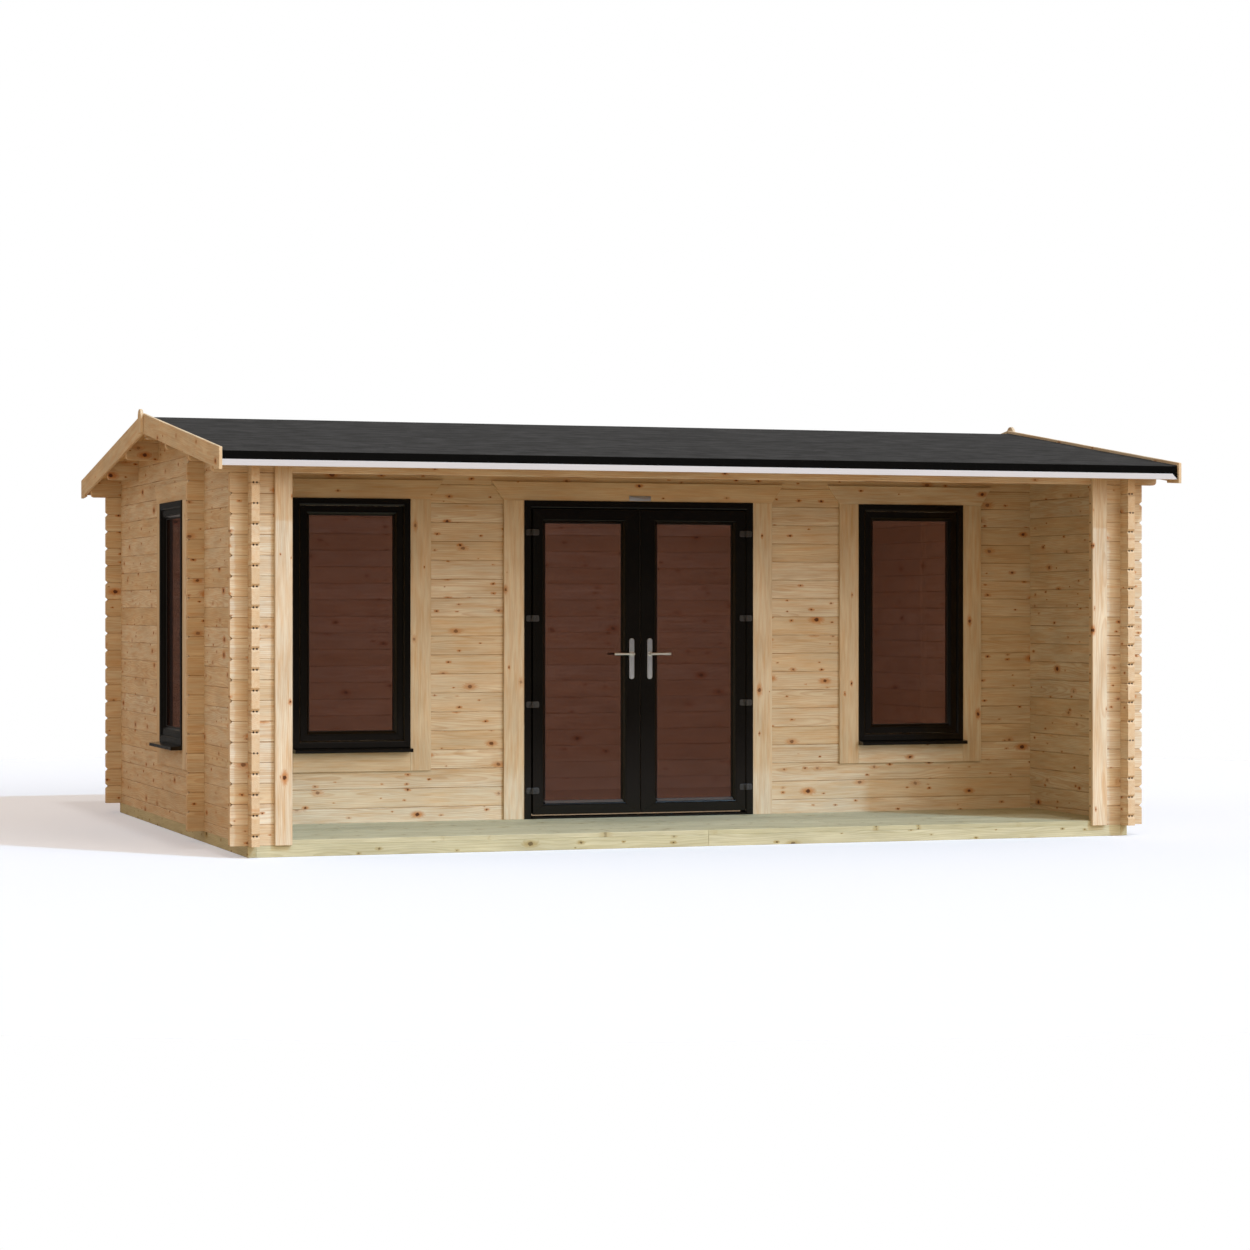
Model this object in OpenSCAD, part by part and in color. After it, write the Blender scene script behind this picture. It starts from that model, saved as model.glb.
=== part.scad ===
// Log cabin with a covered porch: interlocking logs, low gable roof, double doors.
// X runs along the front, Y from front to back, Z up. The origin is on the ground,
// in the middle of the plan.

/* [Logs] */
// Height of one log course
log_h = 112; // [100:1:140]
// Thickness of a log
log_t = 44; // [34:1:60]
// Bevel along both edges of each log joint
joint_bevel = 4; // [1:0.5:6]
// Length of a log end past a crossing
log_end = 98; // [70:1:140]
// Bevel on the corners of a log end
end_bevel = 15; // [4:1:20]
// Full log courses below the eaves beams
courses = 18; // [17:1:21]
// Height of the eaves beams at their outer face
beam_h = 114; // [100:1:160]
// Radius of the lower corner of a beam end
beam_round = 22; // [5:1:40]

/* [Plan] */
// Width over the outer faces of the side walls
cabin_w = 5300; // [4900:10:6600]
// Depth from the porch front to the outer face of the back wall
cabin_d = 4060; // [3400:1:5200]
// Depth from the porch front to the front wall
porch_d = 1206; // [900:1:1500]
// Length of a porch wall, from the outer face of the side wall
porch_wall_w = 228; // [190:1:400]

/* [Base] */
// Height of the bearers
bearer_h = 65; // [44:1:100]
// Width of a bearer
bearer_w = 45; // [36:1:70]
// Largest distance between floor joists
joist_gap = 620; // [400:10:700]
// Thickness of the deck and floor boards
board_t = 28; // [18:1:36]

/* [Roof] */
// Rise of the roof for each unit of run
roof_slope = 0.136; // [0.1:0.002:0.2]
// Distance the roof runs out past the front and back
eave_run = 275; // [200:1:400]
// Distance the roof runs out past the side walls
verge_run = 213; // [150:1:400]
// Upright thickness of the roof boards
roof_board_t = 22; // [15:1:28]
// Upright thickness of the felt
felt_t = 4; // [2:0.5:6]
// Height of the felt fold at the eaves
fold_h = 46; // [35:1:60]
// Height of the white strip under the fold
strip_h = 34; // [20:1:50]
// Thickness of the white strip
strip_t = 10; // [6:1:14]
// Thickness of the board behind the fold and strip
fascia_t = 18; // [12:1:28]
// Distance from the end of a bargeboard back to the fascia
fascia_set = 24; // [20:1:50]
// First and second purlin of each slope, from the outer face of the eaves beam
purlin_in = [650, 1345];
// Thickness of a bargeboard
barge_t = 18; // [12:1:28]
// Upright height of a bargeboard
barge_h = 120; // [95:1:160]
// Height of a bargeboard above the felt
barge_up = 20; // [8:1:40]
// Length of the dropped block at the foot of a bargeboard
foot_l = 146; // [80:1:200]
// Depth of the step at the start of that block
foot_step = 12; // [4:1:25]
// Width of the plate over the joint of two bargeboards
finial_w = 100; // [60:1:140]
// Height of that plate above the bargeboards
finial_up = 25; // [5:1:50]

/* [Windows] */
// Width of a window frame
window_w = 705; // [500:1:900]
// Height of a window frame
window_h = 1460; // [900:1:1500]
// Height of the heads of the doors and windows above the ground
head_z = 1992; // [1900:1:2060]
// Distance of a front window from the middle of the cabin
window_x = 1781; // [1550:1:1900]
// Distance from the front wall to a side window
side_window_in = 531; // [300:1:900]
// Width of the outer frame of a window
window_frame_w = 44; // [30:1:60]
// Width of the sash of a window
window_sash_w = 54; // [40:1:80]
// Distance of the sash behind the outer frame
sash_set = 9; // [2:1:16]
// Distance of the frames in front of the log face
frame_proud = 26; // [18:1:40]
// Thickness of a pane
glass_t = 6; // [4:1:10]
// Distance from the face of a frame to the glass
glass_set = 30; // [20:1:40]
// Thickness of a window sill
sill_h = 26; // [16:1:40]
// Distance the sill runs out in front of the log face
sill_run = 88; // [50:1:120]
// Width of the boards around the doors and windows
trim_w = 126; // [60:1:150]
// Height of the board over a door or window
trim_head_h = 112; // [70:1:130]
// Height of the board under a window
trim_foot_h = 113; // [70:1:130]
// Distance the top edge of a head board runs past its lower edge
trim_slant = 75; // [0:1:100]
// Thickness of these boards
trim_t = 18; // [10:1:24]

/* [Doors] */
// Width of the door frame
door_w = 1457; // [1300:1:1700]
// Width of the jambs and head of the door frame
jamb_w = 45; // [35:1:70]
// Height of the threshold
threshold_h = 20; // [12:1:30]
// Clearance around each door
door_gap = 5; // [5:0.5:8]
// Thickness of a door
door_t = 50; // [40:1:54]
// Width of the stile at the hinges, and of the top rail
stile_w = 83; // [70:1:110]
// Width of the stile at the lock
lock_stile_w = 110; // [95:1:140]
// Height of the bottom rail
bottom_rail_h = 80; // [60:1:160]
// Distance the stop covers a door
stop_lap = 10; // [5:1:20]
// Radius of a hinge knuckle
knuckle_r = 8; // [6:0.5:9]
// Radius of a hinge pin
pin_r = 4; // [3:0.5:5]
// Distance of the hinge axis in front of the door face
hinge_out = 12; // [10:0.5:16]
// Width of a hinge plate
hinge_plate_w = 36; // [24:1:42]
// Height of a hinge
hinge_h = 38; // [30:1:80]
// Thickness of a hinge plate
hinge_plate_t = 4; // [3:0.5:6]
// Height of a handle plate
plate_h = 246; // [180:1:280]
// Width of a handle plate
plate_w = 33; // [26:1:44]
// Thickness of a handle plate
plate_t = 9; // [6:1:14]
// Height of the levers above the ground
lever_z = 1075; // [950:1:1200]
// Distance from the top of a handle plate down to its lever
lever_down = 94; // [40:1:120]
// Length of a lever from its axis
lever_l = 130; // [100:1:150]
// Radius of a lever
lever_r = 9; // [7:0.5:12]
// Distance from the door face to the middle of the lever
lever_out = 46; // [38:1:60]
// Radius of the spindle between two levers
spindle_r = 5; // [4:0.5:6]

/* [Plate] */
// Width of the blank plate over the doors
name_plate_w = 138; // [80:1:200]
// Height of the blank plate
name_plate_h = 30; // [20:1:60]

/* [Hidden] */

seam = 0.15;               // half of the gap between two solids of one node
pin_clear = 0.05;          // running clearance of a hinge pin
neck_clear = 0.3;          // clearance of a lever neck in its plate
spindle_clear = 4;         // clearance of the spindle in the door
reach = 4000;              // longer than any cut needs to be
far = 2 * reach;

half_w = cabin_w / 2;
half_d = cabin_d / 2;
base_z = bearer_h;
floor_z = bearer_h + board_t;
wall_top = base_z + courses * log_h;
front_y = -half_d + porch_d;
eave_y = half_d + eave_run;
verge_x = half_w + verge_run;
roof_x = verge_x - barge_t;
eaves_z = wall_top + beam_h;
quarter = log_h / 4;
sill_z = head_z - window_h;
opening_z = sill_z - sill_h;
side_window_y = front_y + log_t + side_window_in + window_w / 2;

frame_y = front_y - frame_proud;
frame_d = log_t + frame_proud;
jamb_x = door_w / 2 - jamb_w;
axis_x = jamb_x - door_gap / 2;
axis_y = frame_y - hinge_out;
door_outer_x = jamb_x - door_gap;
door_z0 = floor_z + threshold_h + door_gap;
door_z1 = head_z - jamb_w - door_gap;
lock_x = door_gap / 2 + lock_stile_w / 2;
stop_y = frame_y + door_t + door_gap;

// Underside of the roof at a distance y from the ridge line
function roof_under(y) = eaves_z + roof_slope * (half_d - abs(y));
function roof_top(y) = roof_under(y) + roof_board_t + felt_t;

// Log joints between z0 and z1, for walls whose first full log starts at start
function joints(start, z0, z1) =
    [for (k = [-1:courses + 8]) let (z = start + k * log_h) if (z > z0 + 1 && z < z1 - 1) z];
function joint_above(start, z) = start + ceil((z - start) / log_h) * log_h;
function joint_below(start, z) = start + floor((z - start) / log_h) * log_h;

// Cross-section of a stack of logs, bevelled at every joint
module stack_section(start, z0, z1) {
    js = joints(start, z0 - log_h, z1 + log_h);
    n = len(js);
    polygon([
        [0, js[0]],
        for (i = [1:n - 1]) each [
            [0, js[i] - joint_bevel], [joint_bevel, js[i]], [0, js[i] + joint_bevel]
        ],
        [0, js[n - 1] + log_h],
        [log_t, js[n - 1] + log_h],
        for (i = [n - 1:-1:1]) each [
            [log_t, js[i] + joint_bevel], [log_t - joint_bevel, js[i]],
            [log_t, js[i] - joint_bevel]
        ],
        [log_t, js[0]]
    ]);
}

// Outline of a wall from a to b, with the corners of its log ends bevelled
module end_outline(start, a, b, z0, z1, bevel_a, bevel_b) {
    js = joints(start, z0, z1);
    n = len(js);
    polygon([
        [a, z0], [b, z0],
        for (i = [0:1:n - 1]) each bevel_b
            ? [[b, js[i] - end_bevel], [b - end_bevel, js[i]], [b, js[i] + end_bevel]] : [],
        [b, z1], [a, z1],
        for (i = [n - 1:-1:0]) each bevel_a
            ? [[a, js[i] + end_bevel], [a + end_bevel, js[i]], [a, js[i] - end_bevel]] : []
    ]);
}

// What the crossing logs take out of a wall, at a list of crossings
module crossings(start, at, z0, z1) {
    for (c = at, z = joints(start, z0 - quarter - 2, z1 + quarter + 2))
        translate([c, z - quarter]) square([log_t, 2 * quarter]);
}

// A wall that runs along X: its outline is the child, its outer face is at y
module wall_x(y, start, z0, z1) {
    intersection() {
        translate([-reach, y, 0]) rotate([90, 0, 90])
            linear_extrude(far) stack_section(start, z0, z1);
        translate([0, y + log_t + 1, 0]) rotate([90, 0, 0]) linear_extrude(log_t + 2) children();
    }
}

// A wall that runs along Y: its outline is the child, its lower X face is at x
module wall_y(x, start, z0, z1) {
    intersection() {
        translate([x, reach, 0]) rotate([90, 0, 0])
            linear_extrude(far) stack_section(start, z0, z1);
        translate([x - 1, 0, 0]) rotate([90, 0, 90]) linear_extrude(log_t + 2) children();
    }
}

// A profile drawn in Y and Z, pushed out along X from x0 to x1
module along_x(x0, x1) {
    translate([x0, 0, 0]) rotate([90, 0, 90]) linear_extrude(x1 - x0) children();
}

// A plate drawn in X and Z, from y0 back to y1
module along_y(y0, y1) {
    translate([0, y1, 0]) rotate([90, 0, 0]) linear_extrude(y1 - y0) children();
}

module both_sides() {
    children();
    mirror([1, 0, 0]) children();
}

module both_slopes() {
    children();
    mirror([0, 1, 0]) children();
}

module block(lo, hi) {
    translate(lo) cube(hi - lo);
}

// ---- base ----

module bearers() {
    side_w = max(bearer_w, log_t + 1);     // the floor boards reach onto the side bearers
    inner_x = half_w - side_w;
    inner_y = half_d - bearer_w;
    bays = ceil(2 * inner_x / joist_gap);
    color("darkseagreen") {
        both_sides() block([inner_x, -half_d, 0], [half_w, half_d, bearer_h]);
        both_slopes() both_sides()
            block([seam, -half_d, 0], [inner_x - 2 * seam, -inner_y, bearer_h]);
        for (i = [1:bays - 1])
            translate([-inner_x + i * 2 * inner_x / bays - bearer_w / 2, -inner_y + 2 * seam, 0])
                cube([bearer_w, 2 * inner_y - 4 * seam, bearer_h]);
    }
}

module room_floor() {
    x = half_w - log_t;
    color("burlywood") {
        block([-x, front_y + log_t, base_z], [x, half_d - log_t, floor_z]);
        block([-door_w / 2, front_y, base_z], [door_w / 2, front_y + log_t, floor_z]);
    }
}

module porch_deck() {
    x = half_w - log_t;
    porch_x = half_w - porch_wall_w;
    color("darkkhaki") {
        block([-x, -half_d + log_t, base_z], [x, front_y, floor_z]);
        block([-porch_x, -half_d, base_z], [porch_x, -half_d + log_t, floor_z]);
    }
}

// ---- walls ----

module x_crossings(z1) {
    crossings(base_z, [-half_w, half_w - log_t], base_z, z1);
}

// Front, back and porch walls: logs start on the bearers
module log_wall_x(y, x0, x1, z0, z1, bevel_a, bevel_b) {
    wall_x(y, base_z, base_z, z1 + log_h) difference() {
        end_outline(base_z, x0, x1, z0, z1, bevel_a, bevel_b);
        x_crossings(z1);
        children();
    }
}

module window_hole() {
    translate([-window_w / 2, opening_z]) square([window_w, head_z - opening_z]);
}

// Side walls start with half a log, so that their joints fall between those of the front
half_start = base_z - log_h / 2;
gable_top = roof_under(0) + 1;

module gable_outline() {
    tip = half_d + log_end + 1;
    polygon([
        [-tip, 0], [tip, 0], [tip, roof_under(tip)], [0, roof_under(0)], [-tip, roof_under(tip)]
    ]);
}

module purlin_holes() {
    for (side = [-1, 1], p = purlin_in) {
        y = half_d - p;
        translate([side > 0 ? y - log_t : -y, roof_under(y) - log_h]) square([log_t, 2 * log_h]);
    }
    translate([-log_t / 2, roof_under(0) - log_h]) square([log_t, 2 * log_h]);
}

module side_wall(x) {
    y0 = -half_d - log_end;
    y1 = half_d + log_end;
    low = joint_above(half_start, opening_z);
    high = joint_below(half_start, head_z);
    hole0 = side_window_y - window_w / 2;
    hole1 = side_window_y + window_w / 2;
    at = [-half_d, front_y, half_d - log_t];
    parts = [
        [y0, y1, base_z, low - seam],
        [y0, hole0, low + seam, high - seam],
        [hole1, y1, low + seam, high - seam],
        [y0, y1, high + seam, gable_top]
    ];
    for (p = parts)
        wall_y(x, half_start, base_z, gable_top + log_h) intersection() {
            gable_outline();
            difference() {
                end_outline(half_start, p[0], p[1], p[2], p[3], p[0] == y0, p[1] == y1);
                crossings(half_start, at, base_z, gable_top);
                translate([side_window_y, 0]) window_hole();
                purlin_holes();
            }
        }
}

module left_wall() {
    color("wheat") side_wall(-half_w);
}

module right_wall() {
    color("wheat") side_wall(half_w - log_t);
}

module back_wall() {
    x = half_w + log_end;
    color("wheat") log_wall_x(half_d - log_t, -x, x, base_z, wall_top - seam, true, true);
}

module front_wall_left() {
    low = joint_above(base_z, opening_z);
    high = joint_below(base_z, head_z);
    x0 = -half_w - log_end;
    color("wheat") {
        log_wall_x(front_y, x0, -door_w / 2, base_z, low - seam, true, false)
            translate([-window_x, 0]) window_hole();
        log_wall_x(front_y, x0, -window_x - window_w / 2, low + seam, high - seam, true, false);
        log_wall_x(front_y, -window_x + window_w / 2, -door_w / 2, low + seam, high - seam,
            false, false);
    }
}

module front_wall_right() {
    mirror([1, 0, 0]) front_wall_left();
}

module front_wall_top() {
    x = half_w + log_end;
    z0 = joint_below(base_z, head_z) + seam;
    z1 = roof_under(front_y + log_t);
    color("wheat") difference() {
        log_wall_x(front_y, -x, x, z0, z1, true, true) {
            translate([-window_x, 0]) window_hole();
            translate([window_x, 0]) window_hole();
            translate([-door_w / 2, 0]) square([door_w, head_z]);
        }
        along_x(-reach, reach) polygon([
            [front_y, roof_under(front_y)], [front_y + log_t, roof_under(front_y + log_t)],
            [front_y + log_t, z1 + log_h], [front_y - log_t, z1 + log_h],
            [front_y - log_t, roof_under(front_y - log_t)]
        ]);
    }
}

module porch_wall_left() {
    color("wheat") log_wall_x(-half_d, -half_w - log_end, -half_w + porch_wall_w,
        base_z, wall_top - seam, true, false);
}

module porch_wall_right() {
    mirror([1, 0, 0]) porch_wall_left();
}

cover_w = 95;              // width of the cover boards
cover_t = 26;              // thickness of the cover boards
cover_lap = 12;            // how far they run past the end of the porch wall

module porch_cover_boards() {
    x1 = -half_w + porch_wall_w + cover_lap;
    color("navajowhite") both_sides()
        block([x1 - cover_w, -half_d - cover_t, base_z], [x1, -half_d, eaves_z - roof_slope * cover_t]);
}

// ---- roof carcass ----

// Outline of a beam that runs out to the bargeboards, with its lower end corners rounded
module beam_outline(z0, z1) {
    x = roof_x;
    difference() {
        translate([-x, z0]) square([2 * x, z1 - z0]);
        for (s = [-1, 1]) translate([s * x, z0]) mirror([s > 0 ? 1 : 0, 0]) difference() {
            square(beam_round);
            translate([beam_round, beam_round]) circle(beam_round, $fn = 48);
        }
    }
}

// Eaves beam on the front side; the back one is its mirror
module eaves_beam() {
    y1 = -half_d + log_t;
    z_in = roof_under(y1);
    intersection() {
        along_x(-roof_x, roof_x) polygon([
            [-half_d + joint_bevel, wall_top], [y1 - joint_bevel, wall_top],
            [y1, wall_top + joint_bevel], [y1, z_in],
            [-half_d, eaves_z], [-half_d, wall_top + joint_bevel]
        ]);
        along_y(-half_d - 1, y1 + 1) difference() {
            beam_outline(wall_top, z_in + 1);
            x_crossings(z_in + log_h);
        }
    }
}

module porch_beam() {
    color("tan") eaves_beam();
}

module back_beam() {
    color("tan") mirror([0, 1, 0]) eaves_beam();
}

module purlins() {
    color("tan") both_slopes() for (p = purlin_in) {
        y = -half_d + p;
        z0 = roof_under(y) - log_h;
        z1 = roof_under(y + log_t);
        intersection() {
            along_x(-roof_x, roof_x) polygon([
                [y, z0], [y + log_t, z0], [y + log_t, z1], [y, roof_under(y)]
            ]);
            along_y(y - 1, y + log_t + 1) beam_outline(z0, z1 + 1);
        }
    }
}

module ridge_purlin() {
    y = log_t / 2;
    z0 = roof_under(0) - log_h;
    color("tan") intersection() {
        along_x(-roof_x, roof_x) polygon([
            [-y, z0], [y, z0], [y, roof_under(y)], [0, roof_under(0)], [-y, roof_under(y)]
        ]);
        along_y(-y - 1, y + 1) beam_outline(z0, z0 + log_h + 1);
    }
}

// ---- roof skin ----

fascia_y = -eave_y + fascia_set;

module roof_boards() {
    color("peru") both_slopes() along_x(-roof_x, roof_x) polygon([
        [fascia_y, roof_under(fascia_y) + seam], [-seam, roof_under(seam) + seam],
        [-seam, roof_under(seam) + roof_board_t], [fascia_y, roof_under(fascia_y) + roof_board_t]
    ]);
}

module roof_felt() {
    fold_y = fascia_y - felt_t;
    top = roof_top(fold_y);
    color("dimgray") both_slopes() {
        along_x(-roof_x, roof_x) polygon([
            [fold_y, top - felt_t], [-seam, roof_top(seam) - felt_t],
            [-seam, roof_top(seam)], [fold_y, top]
        ]);
        block([-roof_x, fold_y, top - fold_h], [roof_x, fascia_y, top - felt_t - 2 * seam]);
    }
}

fold_foot = roof_top(fascia_y - felt_t) - fold_h;

module fascia_boards() {
    y1 = fascia_y + fascia_t;
    color("tan") both_slopes() along_x(-roof_x, roof_x) polygon([
        [fascia_y, fold_foot - strip_h], [y1, fold_foot - strip_h],
        [y1, roof_under(y1)], [fascia_y, roof_under(fascia_y)]
    ]);
}

module eaves_strips() {
    z0 = fold_foot - strip_h;
    z1 = fold_foot - 2 * seam;
    color("white") both_slopes() along_y(fascia_y - strip_t, fascia_y) polygon([
        [-roof_x, z0], [roof_x, z0], [roof_x - strip_h, z1], [-roof_x + strip_h, z1]
    ]);
}

module bargeboards() {
    y0 = -eave_y;
    y_step = y0 + foot_l;
    top0 = roof_top(y0) + barge_up;
    apex = roof_top(seam) + barge_up;
    step_z = roof_top(y_step) + barge_up - barge_h;
    color("tan") both_slopes() along_x(roof_x, verge_x) polygon([
        [y0, top0 - barge_h], [y_step, step_z - foot_step], [y_step, step_z],
        [-seam, apex - barge_h], [-seam, apex], [y0, top0]
    ]);
}

module right_bargeboards() {
    bargeboards();
}

module left_bargeboards() {
    mirror([1, 0, 0]) bargeboards();
}

module gable_plates() {
    apex = roof_top(0) + barge_up;
    r = finial_w / 2;
    z0 = apex - barge_h;
    color("tan") both_sides() along_x(verge_x, verge_x + barge_t) union() {
        translate([-r, z0]) square([finial_w, barge_h + finial_up - r]);
        translate([0, apex + finial_up - r]) circle(r, $fn = 64);
    }
}

// ---- windows ----

// Where the front and side windows go: the child stands on the log face, facing -Y
module at_front_windows() {
    for (s = [-1, 1]) translate([s * window_x, front_y, 0]) children();
}

module at_left_window() {
    translate([-half_w, side_window_y, 0]) rotate([0, 0, -90]) children();
}

module at_right_window() {
    translate([half_w, side_window_y, 0]) rotate([0, 0, 90]) children();
}

module ring(w, h, edge) {
    difference() {
        translate([-w / 2, 0]) square([w, h]);
        translate([-w / 2 + edge, edge]) square([w - 2 * edge, h - 2 * edge]);
    }
}

window_edge = window_frame_w + window_sash_w;

module window_unit() {
    sash_y = -frame_proud + sash_set;
    glass_y = -frame_proud + glass_set;
    pocket = glass_t + 2 * seam;
    color("black") translate([0, 0, sill_z]) difference() {
        union() {
            along_y(-frame_proud, log_t) ring(window_w, window_h, window_frame_w);
            translate([0, 0, window_frame_w - 1]) along_y(sash_y, log_t)
                ring(window_w - 2 * window_frame_w + 2, window_h - 2 * window_frame_w + 2,
                    window_sash_w + 1);
        }
        translate([-window_w / 2 + window_edge - glass_bite - seam, glass_y - seam,
            window_edge - glass_bite - seam])
            cube([window_w - 2 * (window_edge - glass_bite - seam), pocket,
                window_h - 2 * (window_edge - glass_bite - seam)]);
    }
}

glass_bite = 12;           // how far a pane reaches into its frame

module window_pane() {
    edge = window_edge - glass_bite;
    glass_y = -frame_proud + glass_set;
    color("sienna", 0.5) translate([-window_w / 2 + edge, glass_y, sill_z + edge])
        cube([window_w - 2 * edge, glass_t, window_h - 2 * edge]);
}

// Sill under the frame, with a sloping nose in front of the log face
module sill() {
    color("black") along_x(-window_w / 2, window_w / 2) polygon([
        [-sill_run, opening_z], [log_t, opening_z], [log_t, sill_z],
        [-frame_proud, sill_z], [-sill_run, opening_z + 0.75 * sill_h]
    ]);
}

// Boards around a window: two uprights, a slanted head board, a foot board between them
module window_boards() {
    w = window_w / 2;
    foot = opening_z - trim_foot_h;
    color("navajowhite") {
        both_sides() block([w, -trim_t, foot], [w + trim_w, 0, head_z - 2 * seam]);
        head_board(w);
        block([-w + 2 * seam, -trim_t, foot], [w - 2 * seam, 0, opening_z]);
    }
}

module head_board(w) {
    along_y(-trim_t, 0) polygon([
        [-w - trim_w, head_z], [w + trim_w, head_z],
        [w + trim_w + trim_slant, head_z + trim_head_h],
        [-w - trim_w - trim_slant, head_z + trim_head_h]
    ]);
}

module front_left_window() {
    translate([-window_x, front_y, 0]) window_unit();
}

module front_right_window() {
    translate([window_x, front_y, 0]) window_unit();
}

module left_side_window() {
    at_left_window() window_unit();
}

module right_side_window() {
    at_right_window() window_unit();
}

module front_window_glass() {
    at_front_windows() window_pane();
}

module side_window_glass() {
    at_left_window() window_pane();
    at_right_window() window_pane();
}

module window_sills() {
    at_front_windows() sill();
    at_left_window() sill();
    at_right_window() sill();
}

module front_window_trim() {
    at_front_windows() window_boards();
}

module side_window_trim() {
    at_left_window() window_boards();
    at_right_window() window_boards();
}

// ---- doors ----

module door_frame() {
    w = door_w / 2;
    lip = jamb_x - door_gap - stop_lap;
    color("black") difference() {
        block([-w, frame_y, floor_z], [w, frame_y + frame_d, head_z]);
        block([-jamb_x, frame_y - 1, floor_z + threshold_h],
            [jamb_x, stop_y, head_z - jamb_w]);
        block([-lip, frame_y - 1, floor_z + threshold_h],
            [lip, frame_y + frame_d + 1, head_z - jamb_w - door_gap - stop_lap]);
    }
}

module door_trim() {
    w = door_w / 2;
    color("navajowhite") translate([0, front_y, 0]) {
        both_sides() block([w, -trim_t, floor_z], [w + trim_w, 0, head_z - 2 * seam]);
        head_board(w);
    }
}

// Heights of the four hinges of each door
hinge_zs = [for (i = [0:3]) door_z0 + 125 + i * (door_z1 - door_z0 - 285) / 3];

// The right door; the left door is its mirror
module door_leaf() {
    x0 = door_gap / 2;
    back = door_gap;       // the meeting edge steps back, so that the doors swing past each other
    front_t = 15;
    color("black") difference() {
        union() {
            block([x0, frame_y, door_z0], [door_outer_x, frame_y + front_t, door_z1]);
            block([x0 + back, frame_y, door_z0], [door_outer_x, frame_y + door_t, door_z1]);
        }
        block([x0 + lock_stile_w, frame_y - 1, door_z0 + bottom_rail_h],
            [door_outer_x - stile_w, frame_y + door_t + 1, door_z1 - stile_w]);
        translate([0, frame_y + glass_set - seam, 0]) door_pane_block(glass_t + 2 * seam, seam);
        translate([lock_x, frame_y - 1, lever_z]) rotate([-90, 0, 0])
            cylinder(h = door_t + 2, r = spindle_r + spindle_clear, $fn = 48);
    }
}

module door_pane_block(t, grow) {
    bite = glass_bite + grow;
    block([door_gap / 2 + lock_stile_w - bite, 0, door_z0 + bottom_rail_h - bite],
        [door_outer_x - stile_w + bite, t, door_z1 - stile_w + bite]);
}

module door_pane() {
    color("sienna", 0.5) translate([0, frame_y + glass_set, 0]) door_pane_block(glass_t, 0);
}

// Door half of a hinge: plate, web and the upper half of the knuckle
module leaf_hinges() {
    face = frame_y;
    color("dimgray") for (z = hinge_zs) difference() {
        union() {
            block([axis_x - hinge_plate_w - knuckle_r, face - hinge_plate_t, z],
                [axis_x - knuckle_r + 1, face, z + hinge_h]);
            block([axis_x - knuckle_r - 1, axis_y, z + hinge_h / 2 + seam],
                [axis_x - door_gap / 2, face, z + hinge_h]);
            translate([axis_x, axis_y, z + hinge_h / 2 + seam])
                cylinder(h = hinge_h / 2 - seam, r = knuckle_r, $fn = 48);
        }
        translate([axis_x, axis_y, z]) cylinder(h = hinge_h + 1, r = pin_r + pin_clear, $fn = 48);
    }
}

// Frame half: plate, web, lower half of the knuckle and the pin
module frame_hinges() {
    face = frame_y;
    color("dimgray") both_sides() for (z = hinge_zs) {
        block([axis_x + knuckle_r - 1, face - hinge_plate_t, z],
            [axis_x + knuckle_r + hinge_plate_w - door_gap, face, z + hinge_h]);
        block([axis_x + door_gap / 2, axis_y, z],
            [axis_x + knuckle_r + 1, face, z + hinge_h / 2 - seam]);
        translate([axis_x, axis_y, z])
            cylinder(h = hinge_h / 2 - seam, r = knuckle_r, $fn = 48);
        translate([axis_x, axis_y, z]) cylinder(h = hinge_h - 1, r = pin_r, $fn = 48);
    }
}

neck_r = lever_r - 1;

// Long plate with round ends, outside and inside the door
module handle_plates() {
    r = plate_w / 2;
    z1 = lever_z + lever_down;
    z0 = z1 - plate_h;
    color("silver") for (y = [frame_y - plate_t, frame_y + door_t]) difference() {
        along_y(y, y + plate_t) union() {
            translate([lock_x - r, z0 + r]) square([plate_w, plate_h - plate_w]);
            translate([lock_x, z0 + r]) circle(r, $fn = 64);
            translate([lock_x, z1 - r]) circle(r, $fn = 64);
        }
        translate([lock_x, y - 1, lever_z]) rotate([-90, 0, 0])
            cylinder(h = plate_t + 2, r = neck_r + neck_clear, $fn = 48);
    }
}

// Levers outside and inside, on one spindle
module lever() {
    y_out = frame_y - lever_out;
    y_in = frame_y + door_t + lever_out;
    color("silver") translate([lock_x, 0, lever_z]) {
        for (y = [y_out, y_in]) translate([0, y, 0]) {
            rotate([0, 90, 0]) cylinder(h = lever_l, r = lever_r, $fn = 48);
            sphere(lever_r, $fn = 48);
            translate([lever_l, 0, 0]) sphere(lever_r, $fn = 48);
        }
        translate([0, y_out, 0]) rotate([-90, 0, 0])
            cylinder(h = lever_out - 1, r = neck_r, $fn = 48);
        translate([0, y_in, 0]) rotate([90, 0, 0])
            cylinder(h = lever_out - 1, r = neck_r, $fn = 48);
        translate([0, y_out, 0]) rotate([-90, 0, 0])
            cylinder(h = y_in - y_out, r = spindle_r, $fn = 48);
    }
}

module blank_plate() {
    z0 = head_z + 4;
    y = front_y - trim_t;
    color("gray") block([-name_plate_w / 2, y - 3, z0], [name_plate_w / 2, y, z0 + name_plate_h]);
}

module right_door() {
    door_leaf();
}

module left_door() {
    mirror([1, 0, 0]) door_leaf();
}

module right_door_glass() {
    door_pane();
}

module left_door_glass() {
    mirror([1, 0, 0]) door_pane();
}

module right_door_hinges() {
    leaf_hinges();
}

module left_door_hinges() {
    mirror([1, 0, 0]) leaf_hinges();
}

module right_handle_plates() {
    handle_plates();
}

module left_handle_plates() {
    mirror([1, 0, 0]) handle_plates();
}

module right_lever() {
    lever();
}

module left_lever() {
    mirror([1, 0, 0]) lever();
}

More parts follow.
